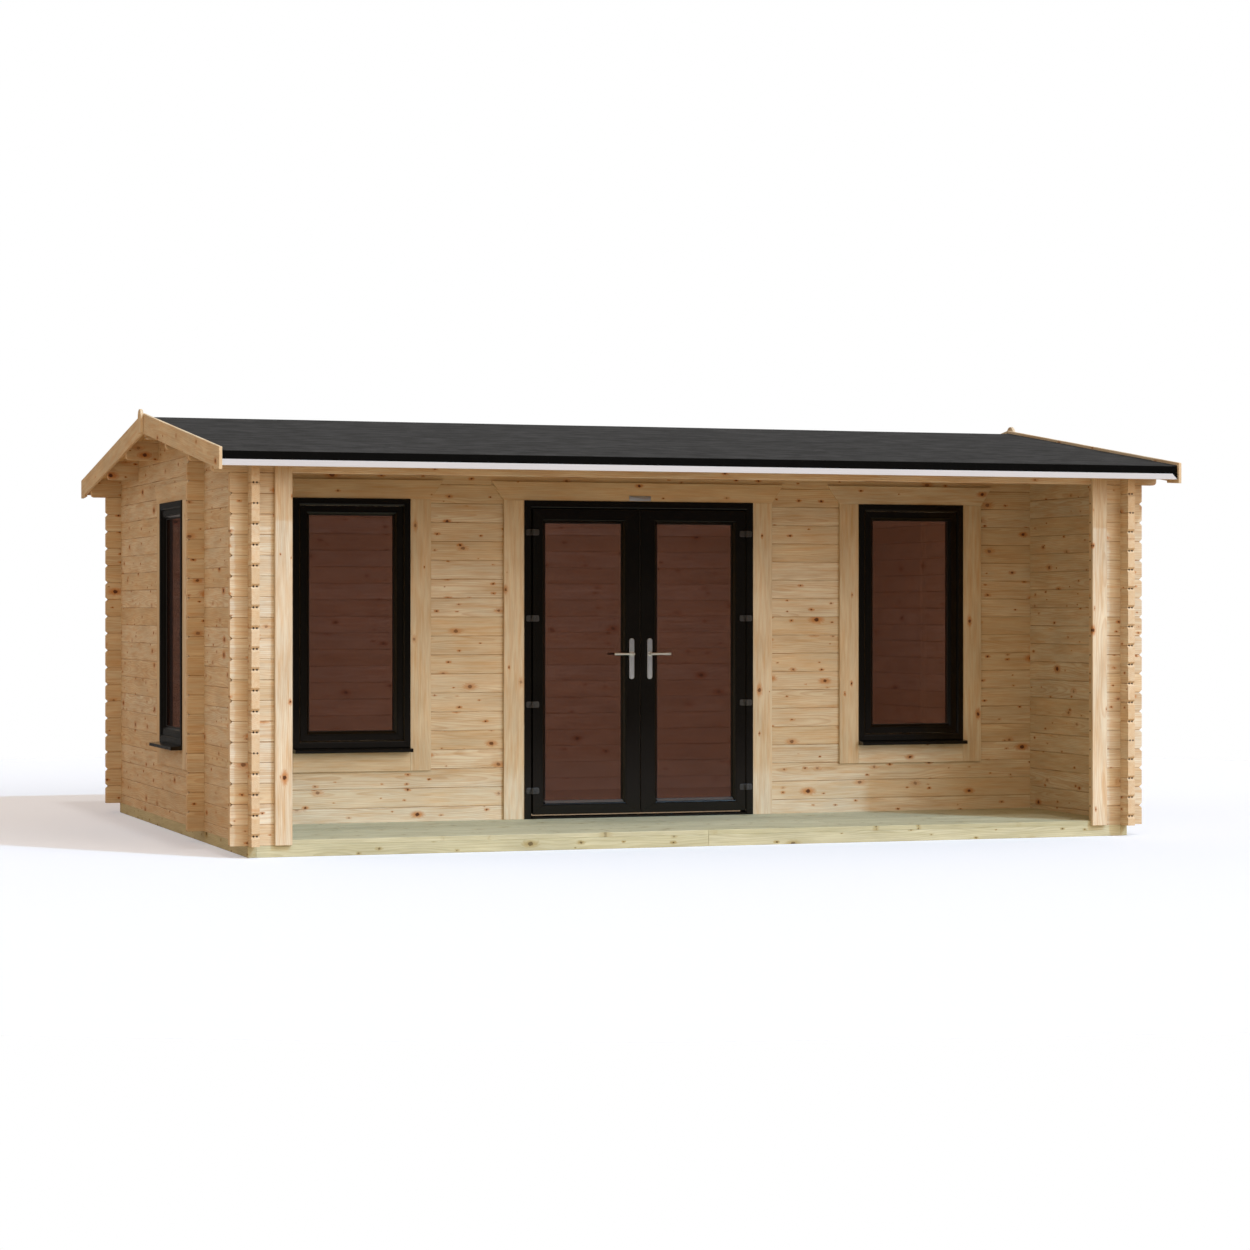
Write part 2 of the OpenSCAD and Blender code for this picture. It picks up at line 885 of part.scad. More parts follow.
bearers();
room_floor();
porch_deck();
left_wall();
right_wall();
back_wall();
front_wall_left();
front_wall_right();
front_wall_top();
porch_wall_left();
porch_wall_right();
porch_cover_boards();
porch_beam();
back_beam();
purlins();
ridge_purlin();
roof_boards();
roof_felt();
fascia_boards();
eaves_strips();
left_bargeboards();
right_bargeboards();
gable_plates();
front_left_window();
front_right_window();
left_side_window();
right_side_window();
front_window_glass();
side_window_glass();
window_sills();
front_window_trim();
side_window_trim();
door_frame();
door_trim();
frame_hinges();
blank_plate();
left_door();
right_door();
left_door_glass();
right_door_glass();
left_door_hinges();
right_door_hinges();
left_handle_plates();
right_handle_plates();
left_lever();
right_lever();
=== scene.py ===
import math
import random

import bmesh
import bpy
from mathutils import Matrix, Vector


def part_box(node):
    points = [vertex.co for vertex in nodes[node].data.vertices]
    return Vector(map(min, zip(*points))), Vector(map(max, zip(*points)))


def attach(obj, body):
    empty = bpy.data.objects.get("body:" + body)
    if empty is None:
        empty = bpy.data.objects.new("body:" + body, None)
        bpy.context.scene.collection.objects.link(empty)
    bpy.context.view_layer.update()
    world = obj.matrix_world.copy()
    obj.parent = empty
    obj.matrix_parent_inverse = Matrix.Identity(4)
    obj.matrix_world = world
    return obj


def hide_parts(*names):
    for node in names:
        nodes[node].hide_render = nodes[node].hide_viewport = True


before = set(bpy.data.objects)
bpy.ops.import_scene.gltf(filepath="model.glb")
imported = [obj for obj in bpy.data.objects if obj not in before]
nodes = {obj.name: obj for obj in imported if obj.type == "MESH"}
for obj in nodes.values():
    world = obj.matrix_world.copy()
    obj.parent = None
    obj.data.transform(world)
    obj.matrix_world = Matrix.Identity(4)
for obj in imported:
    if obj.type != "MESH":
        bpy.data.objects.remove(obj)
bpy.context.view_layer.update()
chance = random.Random(7)
print("frame loaded:", len(nodes), "nodes")

# Sizes that several pieces share, in metres. Places come from the frame itself.
sizes = {
    "logHeight": 0.112,
    "logThickness": 0.044,
    "seam": 0.0003,          # hairline that is left between two pieces that meet
}
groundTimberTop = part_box("bearers")[1].z
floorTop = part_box("porch_deck")[1].z
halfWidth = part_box("bearers")[1].x
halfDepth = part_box("bearers")[1].y
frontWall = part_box("front_wall_left")[0].y
boardsLow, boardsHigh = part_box("roof_boards")
axes = {"x": Vector((1, 0, 0)), "y": Vector((0, 1, 0)), "z": Vector((0, 0, 1))}
front, left, right = Vector((0, -1, 0)), Vector((-1, 0, 0)), Vector((1, 0, 0))


def srgb(code):
    values = [int(code[i:i + 2], 16) / 255 for i in (1, 3, 5)]
    linear = [v / 12.92 if v <= 0.04045 else ((v + 0.055) / 1.055) ** 2.4 for v in values]
    return (*linear, 1.0)


def perMetre(millimetres):
    # how often a detail of this size comes in a metre, for the scale of a pattern
    return 1000 / millimetres


def addNode(tree, kind, wires=None, **settings):
    # wires gives a socket a value, another node or one of its outputs
    node = tree.nodes.new("ShaderNode" + kind)
    for setting, value in settings.items():
        setattr(node, setting, value)
    for socket, value in (wires or {}).items():
        if isinstance(value, bpy.types.Node):
            value = value.outputs[0]
        if isinstance(value, bpy.types.NodeSocket):
            tree.links.new(value, node.inputs[socket])
        else:
            node.inputs[socket].default_value = value
    return node


def newMaterial(name, **fixed):
    # fixed holds what is the same all over the surface, by the shader's own socket names
    material = bpy.data.materials.new(name)
    material.use_nodes = True
    shader = material.node_tree.nodes["Principled BSDF"]
    for socket, value in fixed.items():
        shader.inputs[socket.replace("_", " ")].default_value = value
    return material, material.node_tree, shader


def finishPiece(piece, material, body="root", stands=()):
    piece.data.materials.clear()
    piece.data.materials.append(material)
    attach(piece, body)
    if stands:
        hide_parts(*stands)
    return piece


def newPiece(name, data):
    piece = bpy.data.objects.new(name, data)
    bpy.context.scene.collection.objects.link(piece)
    return piece


def meshPiece(name, vertices, faces):
    mesh = bpy.data.meshes.new(name)
    mesh.from_pydata([tuple(v) for v in vertices], [], faces)
    mesh.update()
    return newPiece(name, mesh)


def paint(names, material):
    for name in names:
        data = nodes[name].data
        data.materials.clear()
        data.materials.append(material)


def layOn(centre, right, out):
    # turns (across, height, depth) into a place on a wall that faces out
    return lambda across, height, depth: centre + right * across + axes["z"] * height + out * depth


def rectangle(x0, z0, x1, z1):
    return [(x0, z0), (x1, z0), (x1, z1), (x0, z1)]


def plank(low, high, along):
    # a straight board between two corners; its grain runs along one axis
    span = Vector(high) - Vector(low)
    others = sorted((a for a in "xyz" if a != along), key=lambda a: span.dot(axes[a]))
    length, width = span.dot(axes[along]), span.dot(axes[others[1]])
    return {
        "outline": rectangle(0, 0, length, width), "origin": Vector(low), "u": axes[along],
        "v": axes[others[1]], "n": axes[others[0]], "thickness": span.dot(axes[others[0]]),
    }


def solidBetween(low, high):
    # a closed solid between two outlines of equally many points, and the second outline's vertices
    shape = bmesh.new()
    lower, upper = ([shape.verts.new(point) for point in outline] for outline in (low, high))
    shape.faces.new(lower)
    shape.faces.new(upper)
    for i in range(len(lower)):
        j = (i + 1) % len(lower)
        shape.faces.new((lower[i], lower[j], upper[j], upper[i]))
    bmesh.ops.recalc_face_normals(shape, faces=shape.faces)
    return shape, upper


def makeBoards(name, boards, edge):
    # one mesh of separate boards with eased edges. Each vertex keeps its place in its own board, so that
    # the grain follows the board: x along it, y through it, z across it
    vertices, faces, place, tone, ends = [], [], [], [], []
    for board in boards:
        u, v, n = board["u"], board["v"], board["n"]
        base = [board["origin"] + u * a + v * b for a, b in board["outline"]]
        shape = solidBetween(base, [point + n * board["thickness"] for point in base])[0]
        bmesh.ops.bevel(shape, geom=list(shape.edges), offset=edge, segments=1, profile=0.5, affect="EDGES")
        start, shade = len(vertices), chance.random()
        shift = Vector((chance.uniform(0, 60), chance.uniform(-0.06, 0.06), chance.uniform(-0.1, 0.1)))
        for vertex in shape.verts:
            vertices.append(vertex.co.copy())
            local = vertex.co - board["origin"]
            place.append(Vector((local.dot(u), local.dot(n), local.dot(v))) + shift)
            tone.append(shade)
        for face in shape.faces:
            faces.append([start + vertex.index for vertex in face.verts])
            ends.append(1.0 if abs(face.normal.dot(u)) > 0.8 else 0.0)
        shape.free()
    piece = meshPiece(name, vertices, faces)
    values = {"place": ("FLOAT_VECTOR", "POINT", "vector", [c for p in place for c in p]),
              "tone": ("FLOAT", "POINT", "value", tone), "endGrain": ("FLOAT", "FACE", "value", ends)}
    for key, (kind, domain, field, numbers) in values.items():
        piece.data.attributes.new(key, kind, domain).data.foreach_set(field, numbers)
    return piece


def splitRun(start, end, longest):
    # cuts a run into equal lengths, none of them over the longest
    count = math.ceil((end - start) / longest)
    step = (end - start) / count
    return [(start + i * step, start + (i + 1) * step) for i in range(count)]


# How logs meet, in metres. Each pair of numbers is where a line is still full and where it has faded.
logSet = {
    "joint": (0.0005, 0.0028),       # the dark line on either side of a joint
    "tongue": 0.0095,                # from the middle of a log to each of its two tongues
    "gap": (0.0058, 0.0078),         # the gap beside a tongue, which shows where a log is cut off
    "slit": 300,                     # mm, about how long an open slit is
    "slitShift": (7.3, 3.1),         # gives each course and each wall slits of its own
    "shift": (80, 0.07, 0.13),       # how far apart two logs may lie in the tree: along, through, across
}


def timber(name, look, logs=None):
    # planed or sawn softwood: growth rings round a pith, latewood lines, knots with a halo, end grain
    material, tree, shader = newMaterial(name, Roughness=look["roughness"], IOR=1.5)
    joints = []
    if logs:
        place, tone, ends, joints = logPlaces(tree, logs)
    else:
        place = addNode(tree, "Attribute", attribute_name="place").outputs["Vector"]
        tone = addNode(tree, "Attribute", attribute_name="tone").outputs["Fac"]
        ends = addNode(tree, "Attribute", attribute_name="endGrain").outputs["Fac"]
    colour, ringHeight = timberColour(tree, place, tone, ends, look)
    for share, shade in joints:
        colour = addNode(tree, "Mix", {"Factor": share, 6: colour, 7: srgb(look[shade])},
                         data_type="RGBA").outputs[2]
    tree.links.new(colour, shader.inputs["Base Color"])
    bump = addNode(tree, "Bump", {"Strength": look["bump"], "Distance": 0.001, "Height": ringHeight})
    tree.links.new(bump.outputs[0], shader.inputs["Normal"])
    return material


def logPlaces(tree, logs):
    # where a point lies in its own log, from the frame's coordinates: logs start at a height, lie
    # along one axis, and have their middle at a distance from the cabin's own middle
    spot = addNode(tree, "TexCoord")
    axis = addNode(tree, "SeparateXYZ", {0: spot.outputs["Object"]})
    normal = addNode(tree, "SeparateXYZ", {0: spot.outputs["Normal"]})
    run, across = (("X", "Y") if logs["along"] == "x" else ("Y", "X"))
    height = sizes["logHeight"]
    level = addNode(tree, "Math", {0: axis.outputs["Z"], 1: -logs["start"]}, operation="ADD")
    level = addNode(tree, "Math", {0: level, 1: 1 / height}, operation="MULTIPLY")
    course = addNode(tree, "Math", {0: level}, operation="FLOOR")
    within = addNode(tree, "Math", {0: level}, operation="FRACT")
    wall = addNode(tree, "Math", {0: axis.outputs[across]}, operation="ROUND")
    key = addNode(tree, "CombineXYZ", {"X": course, "Y": wall, "Z": logs["seed"]})
    dice = addNode(tree, "TexWhiteNoise", {"Vector": key}, noise_dimensions="3D")
    shift = addNode(tree, "VectorMath", {0: dice.outputs["Color"], 1: (0.5, 0.5, 0.5)}, operation="SUBTRACT")
    shift = addNode(tree, "VectorMath", {0: shift, 1: logSet["shift"]}, operation="MULTIPLY")
    depth = addNode(tree, "Math", {0: axis.outputs[across]}, operation="ABSOLUTE")
    depth = addNode(tree, "Math", {0: depth, 1: -logs["middle"]}, operation="ADD")
    rise = addNode(tree, "Math", {0: within, 1: -0.5}, operation="ADD")
    rise = addNode(tree, "Math", {0: rise, 1: height}, operation="MULTIPLY")
    local = addNode(tree, "CombineXYZ", {"X": axis.outputs[run], "Y": depth, "Z": rise})
    place = addNode(tree, "VectorMath", {0: local, 1: shift}, operation="ADD")
    facing = addNode(tree, "Math", {0: normal.outputs[run]}, operation="ABSOLUTE")
    ends = addNode(tree, "Math", {0: facing, 1: 0.6}, operation="GREATER_THAN")
    # the joint: a dark line, and here and there an open slit
    nearest = addNode(tree, "Math", {0: rise}, operation="ABSOLUTE")
    nearest = addNode(tree, "Math", {0: height / 2, 1: nearest}, operation="SUBTRACT")
    full, faded = logSet["joint"]
    line = addNode(tree, "MapRange", {0: nearest, 1: full, 2: faded, 3: 1.0, 4: 0.0},
                   interpolation_type="SMOOTHSTEP")
    slit = addNode(tree, "CombineXYZ", {"X": axis.outputs[run], "Y": course, "Z": wall})
    slit = addNode(tree, "VectorMath", {0: slit, 1: (perMetre(logSet["slit"]), *logSet["slitShift"])},
                   operation="MULTIPLY")
    slit = addNode(tree, "TexNoise", {"Vector": slit, "Scale": 1.0, "Detail": 1.0})
    slit = addNode(tree, "MapRange", {0: slit, 1: 0.54, 2: 0.68, 3: 0.22, 4: 1.0})
    joint = addNode(tree, "Math", {0: line, 1: slit}, operation="MULTIPLY")
    # the gaps beside the two tongues
    beside = addNode(tree, "Math", {0: depth}, operation="ABSOLUTE")
    beside = addNode(tree, "Math", {0: beside, 1: -logSet["tongue"]}, operation="ADD")
    beside = addNode(tree, "Math", {0: beside}, operation="ABSOLUTE")
    gap = addNode(tree, "Math", {0: beside, 1: nearest}, operation="ADD")
    full, faded = logSet["gap"]
    gap = addNode(tree, "MapRange", {0: gap, 1: full, 2: faded, 3: 1.0, 4: 0.0})
    gap = addNode(tree, "Math", {0: gap, 1: ends}, operation="MULTIPLY")
    return place.outputs[0], dice.outputs["Value"], ends.outputs[0], ((joint, "joint"), (gap, "gap"))


# Details of the grain: length and width in mm, noise detail and roughness. Real fibres are far thinner
# than the 4 mm that they are drawn here, because only bundles of them show at this distance.
grainSet = {
    "wander": (900, 330, 2.0, 0.5),      # the pith drifts slowly along the tree
    "fibres": (110, 4, 3.0, 0.6),
    "bands": (250, 22, 4.0, 0.6),
    "patches": (400, 110, 2.0, 0.5),
}
# Knots: raggedness in mm and its depth, how flat they lie, how far the halo is drawn out, the rings' bend
knotSet = {"ragged": 12.5, "rough": 0.0042, "flat": 0.8, "drawn": 0.6, "push": 1.6}


def timberColour(tree, place, tone, ends, look):
    # two sizes of knots, each thrown on a stretched grid of cells
    flat = addNode(tree, "SeparateXYZ", {0: place})
    face = addNode(tree, "CombineXYZ", {"X": flat.outputs["X"], "Y": flat.outputs["Z"]})
    ragged = addNode(tree, "TexNoise", {"Vector": place, "Scale": perMetre(knotSet["ragged"]),
                                        "Detail": 1.0})
    ragged = addNode(tree, "MapRange", {0: ragged, 3: -knotSet["rough"], 4: knotSet["rough"]})
    cores, halos, pushes = [], [], []
    for cell, share, radius in look["knots"]:
        grid = (1 / cell[0], 1 / cell[1], 0)
        stretched = addNode(tree, "VectorMath", {0: face, 1: grid}, operation="MULTIPLY")
        cells = addNode(tree, "TexVoronoi", {"Vector": stretched, "Scale": 1.0, "Randomness": 0.85},
                        voronoi_dimensions="2D")
        away = addNode(tree, "VectorMath", {0: stretched, 1: cells.outputs["Position"]}, operation="SUBTRACT")
        away = addNode(tree, "VectorMath", {0: away, 1: (cell[0] * knotSet["flat"], cell[1], 0)},
                       operation="MULTIPLY")
        # the halo is drawn out along the grain, and some knots stay pale
        drawn = addNode(tree, "VectorMath", {0: away, 1: (knotSet["drawn"], 1, 0)}, operation="MULTIPLY")
        luck = addNode(tree, "SeparateColor", {0: cells.outputs["Color"]})
        size = addNode(tree, "MapRange", {0: luck, 1: 1 - share, 2: 1.0, 3: radius * 0.35, 4: radius})
        reach = []
        for offset in (away, drawn):
            length = addNode(tree, "VectorMath", {0: offset}, operation="LENGTH").outputs["Value"]
            length = addNode(tree, "Math", {0: length, 1: ragged}, operation="ADD")
            reach.append(addNode(tree, "Math", {0: length, 1: size}, operation="DIVIDE"))
        core = addNode(tree, "MapRange", {0: reach[0], 1: 0.7, 2: 1.05, 3: 1.0, 4: 0.0})
        halo = addNode(tree, "MapRange", {0: reach[1], 1: 0.6, 2: 2.6, 3: 1.0, 4: 0.0},
                       interpolation_type="SMOOTHSTEP")
        there = addNode(tree, "Math", {0: luck, 1: 1 - share}, operation="GREATER_THAN")
        dark = addNode(tree, "MapRange", {0: luck.outputs["Green"], 1: 0.1, 2: 0.6, 3: 0.45, 4: 1.0})
        there = addNode(tree, "Math", {0: there, 1: dark}, operation="MULTIPLY")
        cores.append(addNode(tree, "Math", {0: core, 1: there}, operation="MULTIPLY"))
        halos.append(addNode(tree, "Math", {0: halo, 1: there}, operation="MULTIPLY"))
        pushes.append(addNode(tree, "Math", {0: halos[-1], 1: size}, operation="MULTIPLY"))
    core = addNode(tree, "Math", {0: cores[0], 1: cores[1]}, operation="MAXIMUM")
    halo = addNode(tree, "Math", {0: halos[0], 1: halos[1]}, operation="MAXIMUM")
    push = addNode(tree, "Math", {0: pushes[0], 1: pushes[1]}, operation="ADD")

    grain = {}
    for name, (along, across, detail, roughness) in grainSet.items():
        scale = (perMetre(along), perMetre(across), perMetre(across))
        stretched = addNode(tree, "VectorMath", {0: place, 1: scale}, operation="MULTIPLY")
        grain[name] = addNode(tree, "TexNoise", {"Vector": stretched, "Scale": 1.0, "Detail": detail,
                                                 "Roughness": roughness})

    # growth rings: distance from the pith, pushed outward round a knot
    wander = addNode(tree, "VectorMath", {0: grain["wander"].outputs["Color"], 1: (0.5, 0.5, 0.5)},
                     operation="SUBTRACT")
    wander = addNode(tree, "VectorMath", {0: wander, 1: (0, 0.09, 0.09)}, operation="MULTIPLY")
    section = addNode(tree, "VectorMath", {0: place, 1: wander}, operation="ADD")
    section = addNode(tree, "VectorMath", {0: section, 1: (0, 1, 1)}, operation="MULTIPLY")
    radius = addNode(tree, "VectorMath", {0: section}, operation="LENGTH").outputs["Value"]
    radius = addNode(tree, "Math", {0: push, 1: knotSet["push"], 2: radius}, operation="MULTIPLY_ADD")
    rings = addNode(tree, "Math", {0: radius, 1: 1 / look["ring"]}, operation="MULTIPLY")
    phase = addNode(tree, "Math", {0: rings}, operation="FRACT")
    late = addNode(tree, "MapRange", {0: phase, 1: 0.35, 2: 0.9, 3: 0.0, 4: 1.0},
                   interpolation_type="SMOOTHSTEP")
    fade = addNode(tree, "MapRange", {0: phase, 1: 0.92, 2: 1.0, 3: 1.0, 4: 0.0})
    late = addNode(tree, "Math", {0: late, 1: fade}, operation="MULTIPLY")

    # the colour, laid on in turn: two pale tones, warm bands, latewood, shades, then knots and cut ends
    warm = addNode(tree, "MapRange", {0: grain["bands"], 1: 0.4, 2: 0.7, 3: 0.0, 4: 0.7})
    lateShare = addNode(tree, "Math", {0: late, 1: look["contrast"]}, operation="MULTIPLY")
    haloShare = addNode(tree, "Math", {0: halo, 1: 0.85}, operation="MULTIPLY")
    endShare = addNode(tree, "Math", {0: ends, 1: 0.45}, operation="MULTIPLY")
    colour = srgb(look["pale"])
    for share, shade in ((tone, "pale2"), (warm, "warm"), (lateShare, "late")):
        colour = addNode(tree, "Mix", {"Factor": share, 6: colour, 7: srgb(look[shade])},
                         data_type="RGBA").outputs[2]
    for name, darkest, lightest in (("fibres", 0.92, 1.05), ("patches", 0.88, 1.06)):
        shade = addNode(tree, "MapRange", {0: grain[name], 1: 0.3, 2: 0.7, 3: darkest, 4: lightest})
        colour = addNode(tree, "VectorMath", {0: colour, 1: shade}, operation="MULTIPLY").outputs[0]
    for share, shade in ((haloShare, "halo"), (core, "knot"), (endShare, "end")):
        colour = addNode(tree, "Mix", {"Factor": share, 6: colour, 7: srgb(look[shade])},
                         data_type="RGBA").outputs[2]
    height = addNode(tree, "Math", {0: late, 1: 0.5, 2: grain["fibres"]}, operation="MULTIPLY_ADD")
    return colour, height.outputs[0]


# Spruce, planed: pale straw with fine lines, satin. Rings are 2 to 3 mm apart in the real wood and are
# drawn 9 mm apart, because finer ones don't show at this distance. Knots: cell, share, radius.
spruceLook = {
    "pale": "#E4DECD", "pale2": "#DACBAF", "warm": "#CEAA7C", "late": "#BB9164", "halo": "#BB7834",
    "knot": "#572F10", "end": "#D8BD98", "joint": "#8A5A30", "gap": "#2A190E",
    "ring": 0.009, "contrast": 0.36, "roughness": 0.62, "bump": 0.25,
    "knots": [((0.38, 0.12), 0.42, 0.0135), ((0.14, 0.056), 0.24, 0.006)],
}
# Pressure-treated pine: the same kind of wood with a grey-green cast from the copper salts, matt
treatedLook = {
    **spruceLook, "pale": "#D0D0B6", "pale2": "#C5C5A8", "warm": "#B7B594", "late": "#9E966E",
    "halo": "#9E8A50", "knot": "#54452A", "end": "#B5AA80", "roughness": 0.75, "contrast": 0.3,
}
# Roof boards: the same spruce, a little darker and warmer in tone
roofBoardLook = {**spruceLook, "pale": "#DDC79F", "pale2": "#D2B98C"}
# Trim boards: a cleaner grade, with few knots and calm rings
boardLook = {**spruceLook, "contrast": 0.28,
             "knots": [((0.6, 0.14), 0.5, 0.011), ((0.3, 0.08), 0.25, 0.005)]}

logMiddle = sizes["logThickness"] / 2
sideLogs = {"along": "y", "start": groundTimberTop - sizes["logHeight"] / 2, "seed": 3.0,
            "middle": halfWidth - logMiddle}
outerLogs = {"along": "x", "start": groundTimberTop, "seed": 1.0, "middle": halfDepth - logMiddle}
frontLogs = {"along": "x", "start": groundTimberTop, "seed": 8.0, "middle": abs(frontWall + logMiddle)}
purlinLogs, fasciaLogs = ({"along": "x", "start": at, "seed": at, "middle": 0.0} for at in (0.02, 0.01))
spruceBoards = timber("planedSpruceBoards", boardLook)
roofTimber = timber("planedSpruceRoof", roofBoardLook)
treatedPine = timber("pressureTreatedPine", treatedLook)
paint(["left_wall", "right_wall"], timber("planedSpruceSideLogs", spruceLook, sideLogs))
paint(["back_wall", "porch_wall_left", "porch_wall_right"],
      timber("planedSpruceOuterLogs", spruceLook, outerLogs))
paint(["front_wall_left", "front_wall_right", "front_wall_top"],
      timber("planedSpruceFrontLogs", spruceLook, frontLogs))
paint(["porch_beam", "back_beam"], timber("planedSpruceBeams", spruceLook, outerLogs))
paint(["purlins", "ridge_purlin"], timber("planedSprucePurlins", spruceLook, purlinLogs))
paint(["fascia_boards"], timber("planedSpruceFascia", spruceLook, fasciaLogs))


def twoTone(name, darker, paler, grain, detail, bump=None, rough=None, **fixed):
    # a surface that drifts between two close tones; grain is the drift's size in mm along x, y and z,
    # bump a strength and a depth, and rough the roughness of the darker and the paler tone
    material, tree, shader = newMaterial(name, **fixed)
    spot = addNode(tree, "TexCoord").outputs["Object"]
    spot = addNode(tree, "VectorMath", {0: spot, 1: tuple(map(perMetre, grain))}, operation="MULTIPLY")
    drift = addNode(tree, "TexNoise", {"Vector": spot, "Scale": 1.0, "Detail": detail})
    mixed = addNode(tree, "Mix", {"Factor": drift, 6: srgb(darker), 7: srgb(paler)}, data_type="RGBA")
    tree.links.new(mixed.outputs[2], shader.inputs["Base Color"])
    if rough:
        rough = addNode(tree, "MapRange", {0: drift, 3: rough[0], 4: rough[1]})
        tree.links.new(rough.outputs[0], shader.inputs["Roughness"])
    if bump:
        bump = addNode(tree, "Bump", {"Strength": bump[0], "Distance": bump[1], "Height": drift})
        tree.links.new(bump.outputs[0], shader.inputs["Normal"])
    return material


def foiledPlastic():
    # uPVC, extruded, with a fine foil grain: near black, satin, faintly uneven. The grain is drawn 1.1 mm
    # wide, because the real one, a third of that, doesn't show
    material, tree, shader = newMaterial("blackFoiledUpvc", IOR=1.53, Specular_IOR_Level=0.35)
    spot = addNode(tree, "TexCoord").outputs["Object"]
    grain = addNode(tree, "TexNoise", {"Vector": spot, "Scale": perMetre(1.1), "Detail": 2.0})
    cloud = addNode(tree, "TexNoise", {"Vector": spot, "Scale": perMetre(330), "Detail": 3.0})
    mixed = addNode(tree, "Mix", {"Factor": cloud, 6: srgb("#090705"), 7: srgb("#0E0B08")},
                    data_type="RGBA").outputs[2]
    rough = addNode(tree, "MapRange", {0: cloud, 1: 0.3, 2: 0.7, 3: 0.15, 4: 0.21})
    bump = addNode(tree, "Bump", {"Strength": 0.05, "Distance": 0.0002, "Height": grain})
    tree.links.new(mixed, shader.inputs["Base Color"])
    tree.links.new(rough.outputs[0], shader.inputs["Roughness"])
    tree.links.new(bump.outputs[0], shader.inputs["Normal"])
    return material


def brownGlass():
    # body-tinted bronze glass in a sealed unit: mirror smooth, lets a red-brown part of the light through
    material = twoTone("bronzeGlass", "#382826", "#402E2B", (1250,) * 3, 1.0, IOR=1.52, Roughness=0.03)
    tree = material.node_tree
    through = addNode(tree, "BsdfTransparent", {"Color": srgb("#B49F9C")})
    pane = addNode(tree, "MixShader", {0: 0.32, 1: through, 2: tree.nodes["Principled BSDF"]})
    tree.links.new(pane.outputs[0], tree.nodes["Material Output"].inputs["Surface"])
    return material


def roofFeltFinish():
    # mineral felt: bitumen sheet pressed with slate grains, dark grey, matt, with paler scuffed streaks.
    # Real grains are about 1 mm; they are drawn 2.4 mm, because smaller ones don't show
    material, tree, shader = newMaterial("mineralFelt", IOR=1.5, Roughness=0.88, Specular_IOR_Level=0.3)
    spot = addNode(tree, "TexCoord").outputs["Object"]
    grains = addNode(tree, "TexNoise", {"Vector": spot, "Scale": perMetre(2.4), "Detail": 2.0})
    long = addNode(tree, "VectorMath", {0: spot, 1: tuple(map(perMetre, (170, 80, 80)))},
                   operation="MULTIPLY")
    streaks = addNode(tree, "TexNoise", {"Vector": long, "Scale": 1.0, "Detail": 6.0, "Roughness": 0.68,
                                         "Distortion": 0.6})
    pale = addNode(tree, "MapRange", {0: streaks, 1: 0.42, 2: 0.72, 3: 0.0, 4: 1.0})
    grit = addNode(tree, "MapRange", {0: grains, 1: 0.3, 2: 0.7, 3: 0.75, 4: 1.25})
    mixed = addNode(tree, "Mix", {"Factor": pale, 6: srgb("#020203"), 7: srgb("#353537")},
                    data_type="RGBA").outputs[2]
    mixed = addNode(tree, "VectorMath", {0: mixed, 1: grit}, operation="MULTIPLY").outputs[0]
    bump = addNode(tree, "Bump", {"Strength": 0.5, "Distance": 0.001, "Height": grains})
    tree.links.new(mixed, shader.inputs["Base Color"])
    tree.links.new(bump.outputs[0], shader.inputs["Normal"])
    return material


upvc = foiledPlastic()
glass = brownGlass()
felt = roofFeltFinish()
# EPDM glazing seal, extruded: matt black, slightly dusty
rubber = twoTone("blackSealRubber", "#0C0B0A", "#1C1A18", (25,) * 3, 3.0, IOR=1.5, Roughness=0.75)
# uPVC trim, extruded: clean white, satin
whiteUpvc = twoTone("whiteUpvc", "#D1D5DE", "#C7CBD4", (500,) * 3, 3.0, IOR=1.53, Roughness=0.35)
# Bitumen edge of the felt, rolled smooth: black with a soft sheen
bitumen = twoTone("bitumenEdge", "#060606", "#0C0C0C", (70,) * 3, 3.0, IOR=1.5, Roughness=0.2,
                  Specular_IOR_Level=0.3)
# Cast zinc, powder coated: dark grey, satin, finely pitted. The pits are drawn 2 mm wide, so that they show
hingePaint = twoTone("greyPowderCoat", "#2C2C2D", "#3E3E40", (2,) * 3, 2.0, bump=(0.2, 0.0003), IOR=1.5,
                     Roughness=0.42)
# The metals' brushed or drawn lines are about 0.1 mm apart, and are drawn over 1 mm apart, so that they show.
# Stainless steel, brushed along its length: pale grey, soft
plateSteel = twoTone("brushedStainlessPlate", "#DDE0E6", "#EAEDF2", (1.1, 1.1, 17), 2.0, rough=(0.29, 0.43),
                     Metallic=1.0)
# Stainless steel, satin polished: nearly white where it meets the light
leverSteel = twoTone("satinStainlessLever", "#F4F4F3", "#FDFDFC", (1.1, 1.1, 17), 2.0, rough=(0.23, 0.37),
                     Metallic=1.0)
# Anodised aluminium, brushed across: matt warm grey
plateMetal = twoTone("matAnodisedPlate", "#BEBFC2", "#D0D1D4", (25, 1.4, 1.4), 2.0, rough=(0.4, 0.55),
                     Metallic=1.0)
# Aluminium glazing bead, drawn and left plain: light grey, satin
beadMetal = twoTone("aluminiumBead", "#B4B0AA", "#C6C2BC", (33, 1.1, 1.1), 2.0, Metallic=1.0, Roughness=0.45)
paint(["front_window_glass", "side_window_glass", "left_door_glass", "right_door_glass"], glass)
print("materials made")


